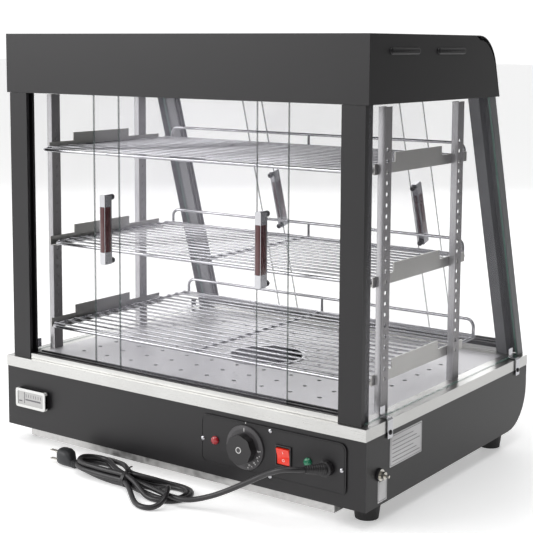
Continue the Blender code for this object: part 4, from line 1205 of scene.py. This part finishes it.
@dataclass
class Studio:
    """The pale floor, the soft light and the camera."""

    eye: Tuple[float, float, float] = (1.121151, -1.576750, 0.622202)
    azimuth: float = 0.620896
    pitch: float = 0.1147106
    roll: float = 0.00533293
    sensor: float = 36.0
    lens: float = 84.72
    shift: float = -0.1435
    counter_edge: float = 1.1

    def build(self) -> None:
        """Makes the whole studio."""
        self.camera()
        self.floor()
        self.world()
        self.lamp("key_softbox", (-2.3, -2.6, 1.9), (-0.1, -0.1, 0.35), 2.2, 60.0)
        self.lamp("top_softbox", (0.3, -0.5, 2.6), (0.0, 0.0, 0.3), 1.8, 22.0)
        self.lamp("rear_softbox", (-1.6, 2.6, 1.6), (0.0, 0.1, 0.3), 2.0, 18.0)

    def camera(self) -> None:
        """Sets the camera: forward from azimuth and pitch, then a small roll about it."""
        ca, sa, cp, sp = (math.cos(self.azimuth), math.sin(self.azimuth), math.cos(self.pitch),
                          math.sin(self.pitch))
        forward = np.array((-sa * cp, ca * cp, -sp))
        level = np.array((ca, sa, 0.0))
        upright = np.cross(level, forward)
        c, s = math.cos(self.roll), math.sin(self.roll)
        right, up = c * level + s * upright, -s * level + c * upright
        data = bpy.data.cameras.new("camera")
        data.sensor_width, data.lens, data.shift_y = self.sensor, self.lens, self.shift
        data.clip_start, data.clip_end = 0.05, 100.0
        made = linked("camera", data)
        turn = np.column_stack((right, up, -forward))
        matrix = Matrix(turn.tolist()).to_4x4()
        matrix.translation = self.eye
        made.matrix_world = matrix
        bpy.context.scene.camera = made

    def floor(self) -> None:
        """A wide white counter: out of sight to the left and the rear, and ending a little to the right."""
        x, y = np.meshgrid((-40.0, -4.0, -1.0, 0.0, self.counter_edge),
                           (-6.0, -1.5, -0.4, 0.4, 1.5, 6.0, 40.0))
        points = np.column_stack((x.ravel(), y.ravel(), np.zeros(x.size)))
        mesh = bpy.data.meshes.new("pale_counter")
        mesh.from_pydata(points.tolist(), [], grid_faces(*x.shape, False))
        finish = Finish("matt_white_laminate", "#F8F8F8", "#F4F4F4", (0.55, 0.65), Pattern.MOULDED, 4.0, 0.01,
                        light_through=0.42)
        mesh.materials.append(finish.material())
        made = linked("pale_counter", mesh)

    def world(self) -> None:
        """A white backdrop that dims towards the zenith and towards the right, where a dark screen stands."""
        world = bpy.data.worlds.new("studio")
        bpy.context.scene.world = world
        world.use_nodes = True
        tree = world.node_tree
        place = add_node(tree, "ShaderNodeTexCoord")
        split = add_node(tree, "ShaderNodeSeparateXYZ", links={0: place.outputs["Generated"]})
        level = add_node(tree, "ShaderNodeMapRange", {"From Min": 0.1, "From Max": 0.9, "To Min": 1.08,
                                                      "To Max": 0.5}, {"Value": split.outputs[2]})
        screen = add_node(tree, "ShaderNodeMapRange", {"From Min": 0.05, "From Max": 0.5, "To Min": 1.0,
                                                       "To Max": 0.2}, {"Value": split.outputs[0]})
        share = add_node(tree, "ShaderNodeMath", {"operation": "MULTIPLY"}, {0: level.outputs[0],
                                                                             1: screen.outputs[0]})
        back = tree.nodes["Background"]
        back.inputs[0].default_value = (1, 1, 1, 1)
        tree.links.new(share.outputs[0], back.inputs[1])
        bpy.context.scene.view_settings.view_transform = "Standard"

    @staticmethod
    def lamp(name: str, place: Sequence[float], aim: Sequence[float], size: float, watts: float) -> None:
        """Hangs a soft area light that faces a point."""
        data = bpy.data.lights.new(name, "AREA")
        data.size, data.energy = size, watts
        made = linked(name, data)
        made.location = place
        away = Vector(place) - Vector(aim)
        made.rotation_euler = away.to_track_quat("Z", "Y").to_euler()


# ---------------------------------------------------------------- the whole case


def main() -> None:
    """Builds the studio and the case, piece by piece."""
    Studio().build()
    MainsCord().build()
    CarriedParts().dress()
    for side in SIDES:
        ShelfUpright(side, "front", 73.5, 92.0, 81.5).build()
        ShelfUpright(side, "rear", 280.0, 298.5, 286.5).build()
    for level, height, front, rear, lift in (("top", 434.5, 41.0, 352.0, 19.5),
                                             ("middle", 285.0, 65.0, 354.0, 24.0),
                                             ("bottom", 152.5, 57.0, 397.0, 25.5)):
        WireShelf(level, height, front, rear, lift).build()
    DoorGrip("front_left", "front_door_left_body", -131.0, 26.0, 326.0, -1, False).build()
    DoorGrip("front_right", "front_door_right_body", 159.5, 15.0, 326.0, -1, False).build()
    DoorGrip("rear_right", "rear_door_right_body", 170.0, 4.9, 217.7, 1, True).build()
    DoorGrip("rear_left", "rear_door_left_body", -111.5, 12.3, 217.7, 1, True).build()
    GlassClips().build()
    HoodPressings().build()
    ControlPanel().build()
    Thermometer().build()
    SidePlates().build()


if __name__ == "__main__":
    main()
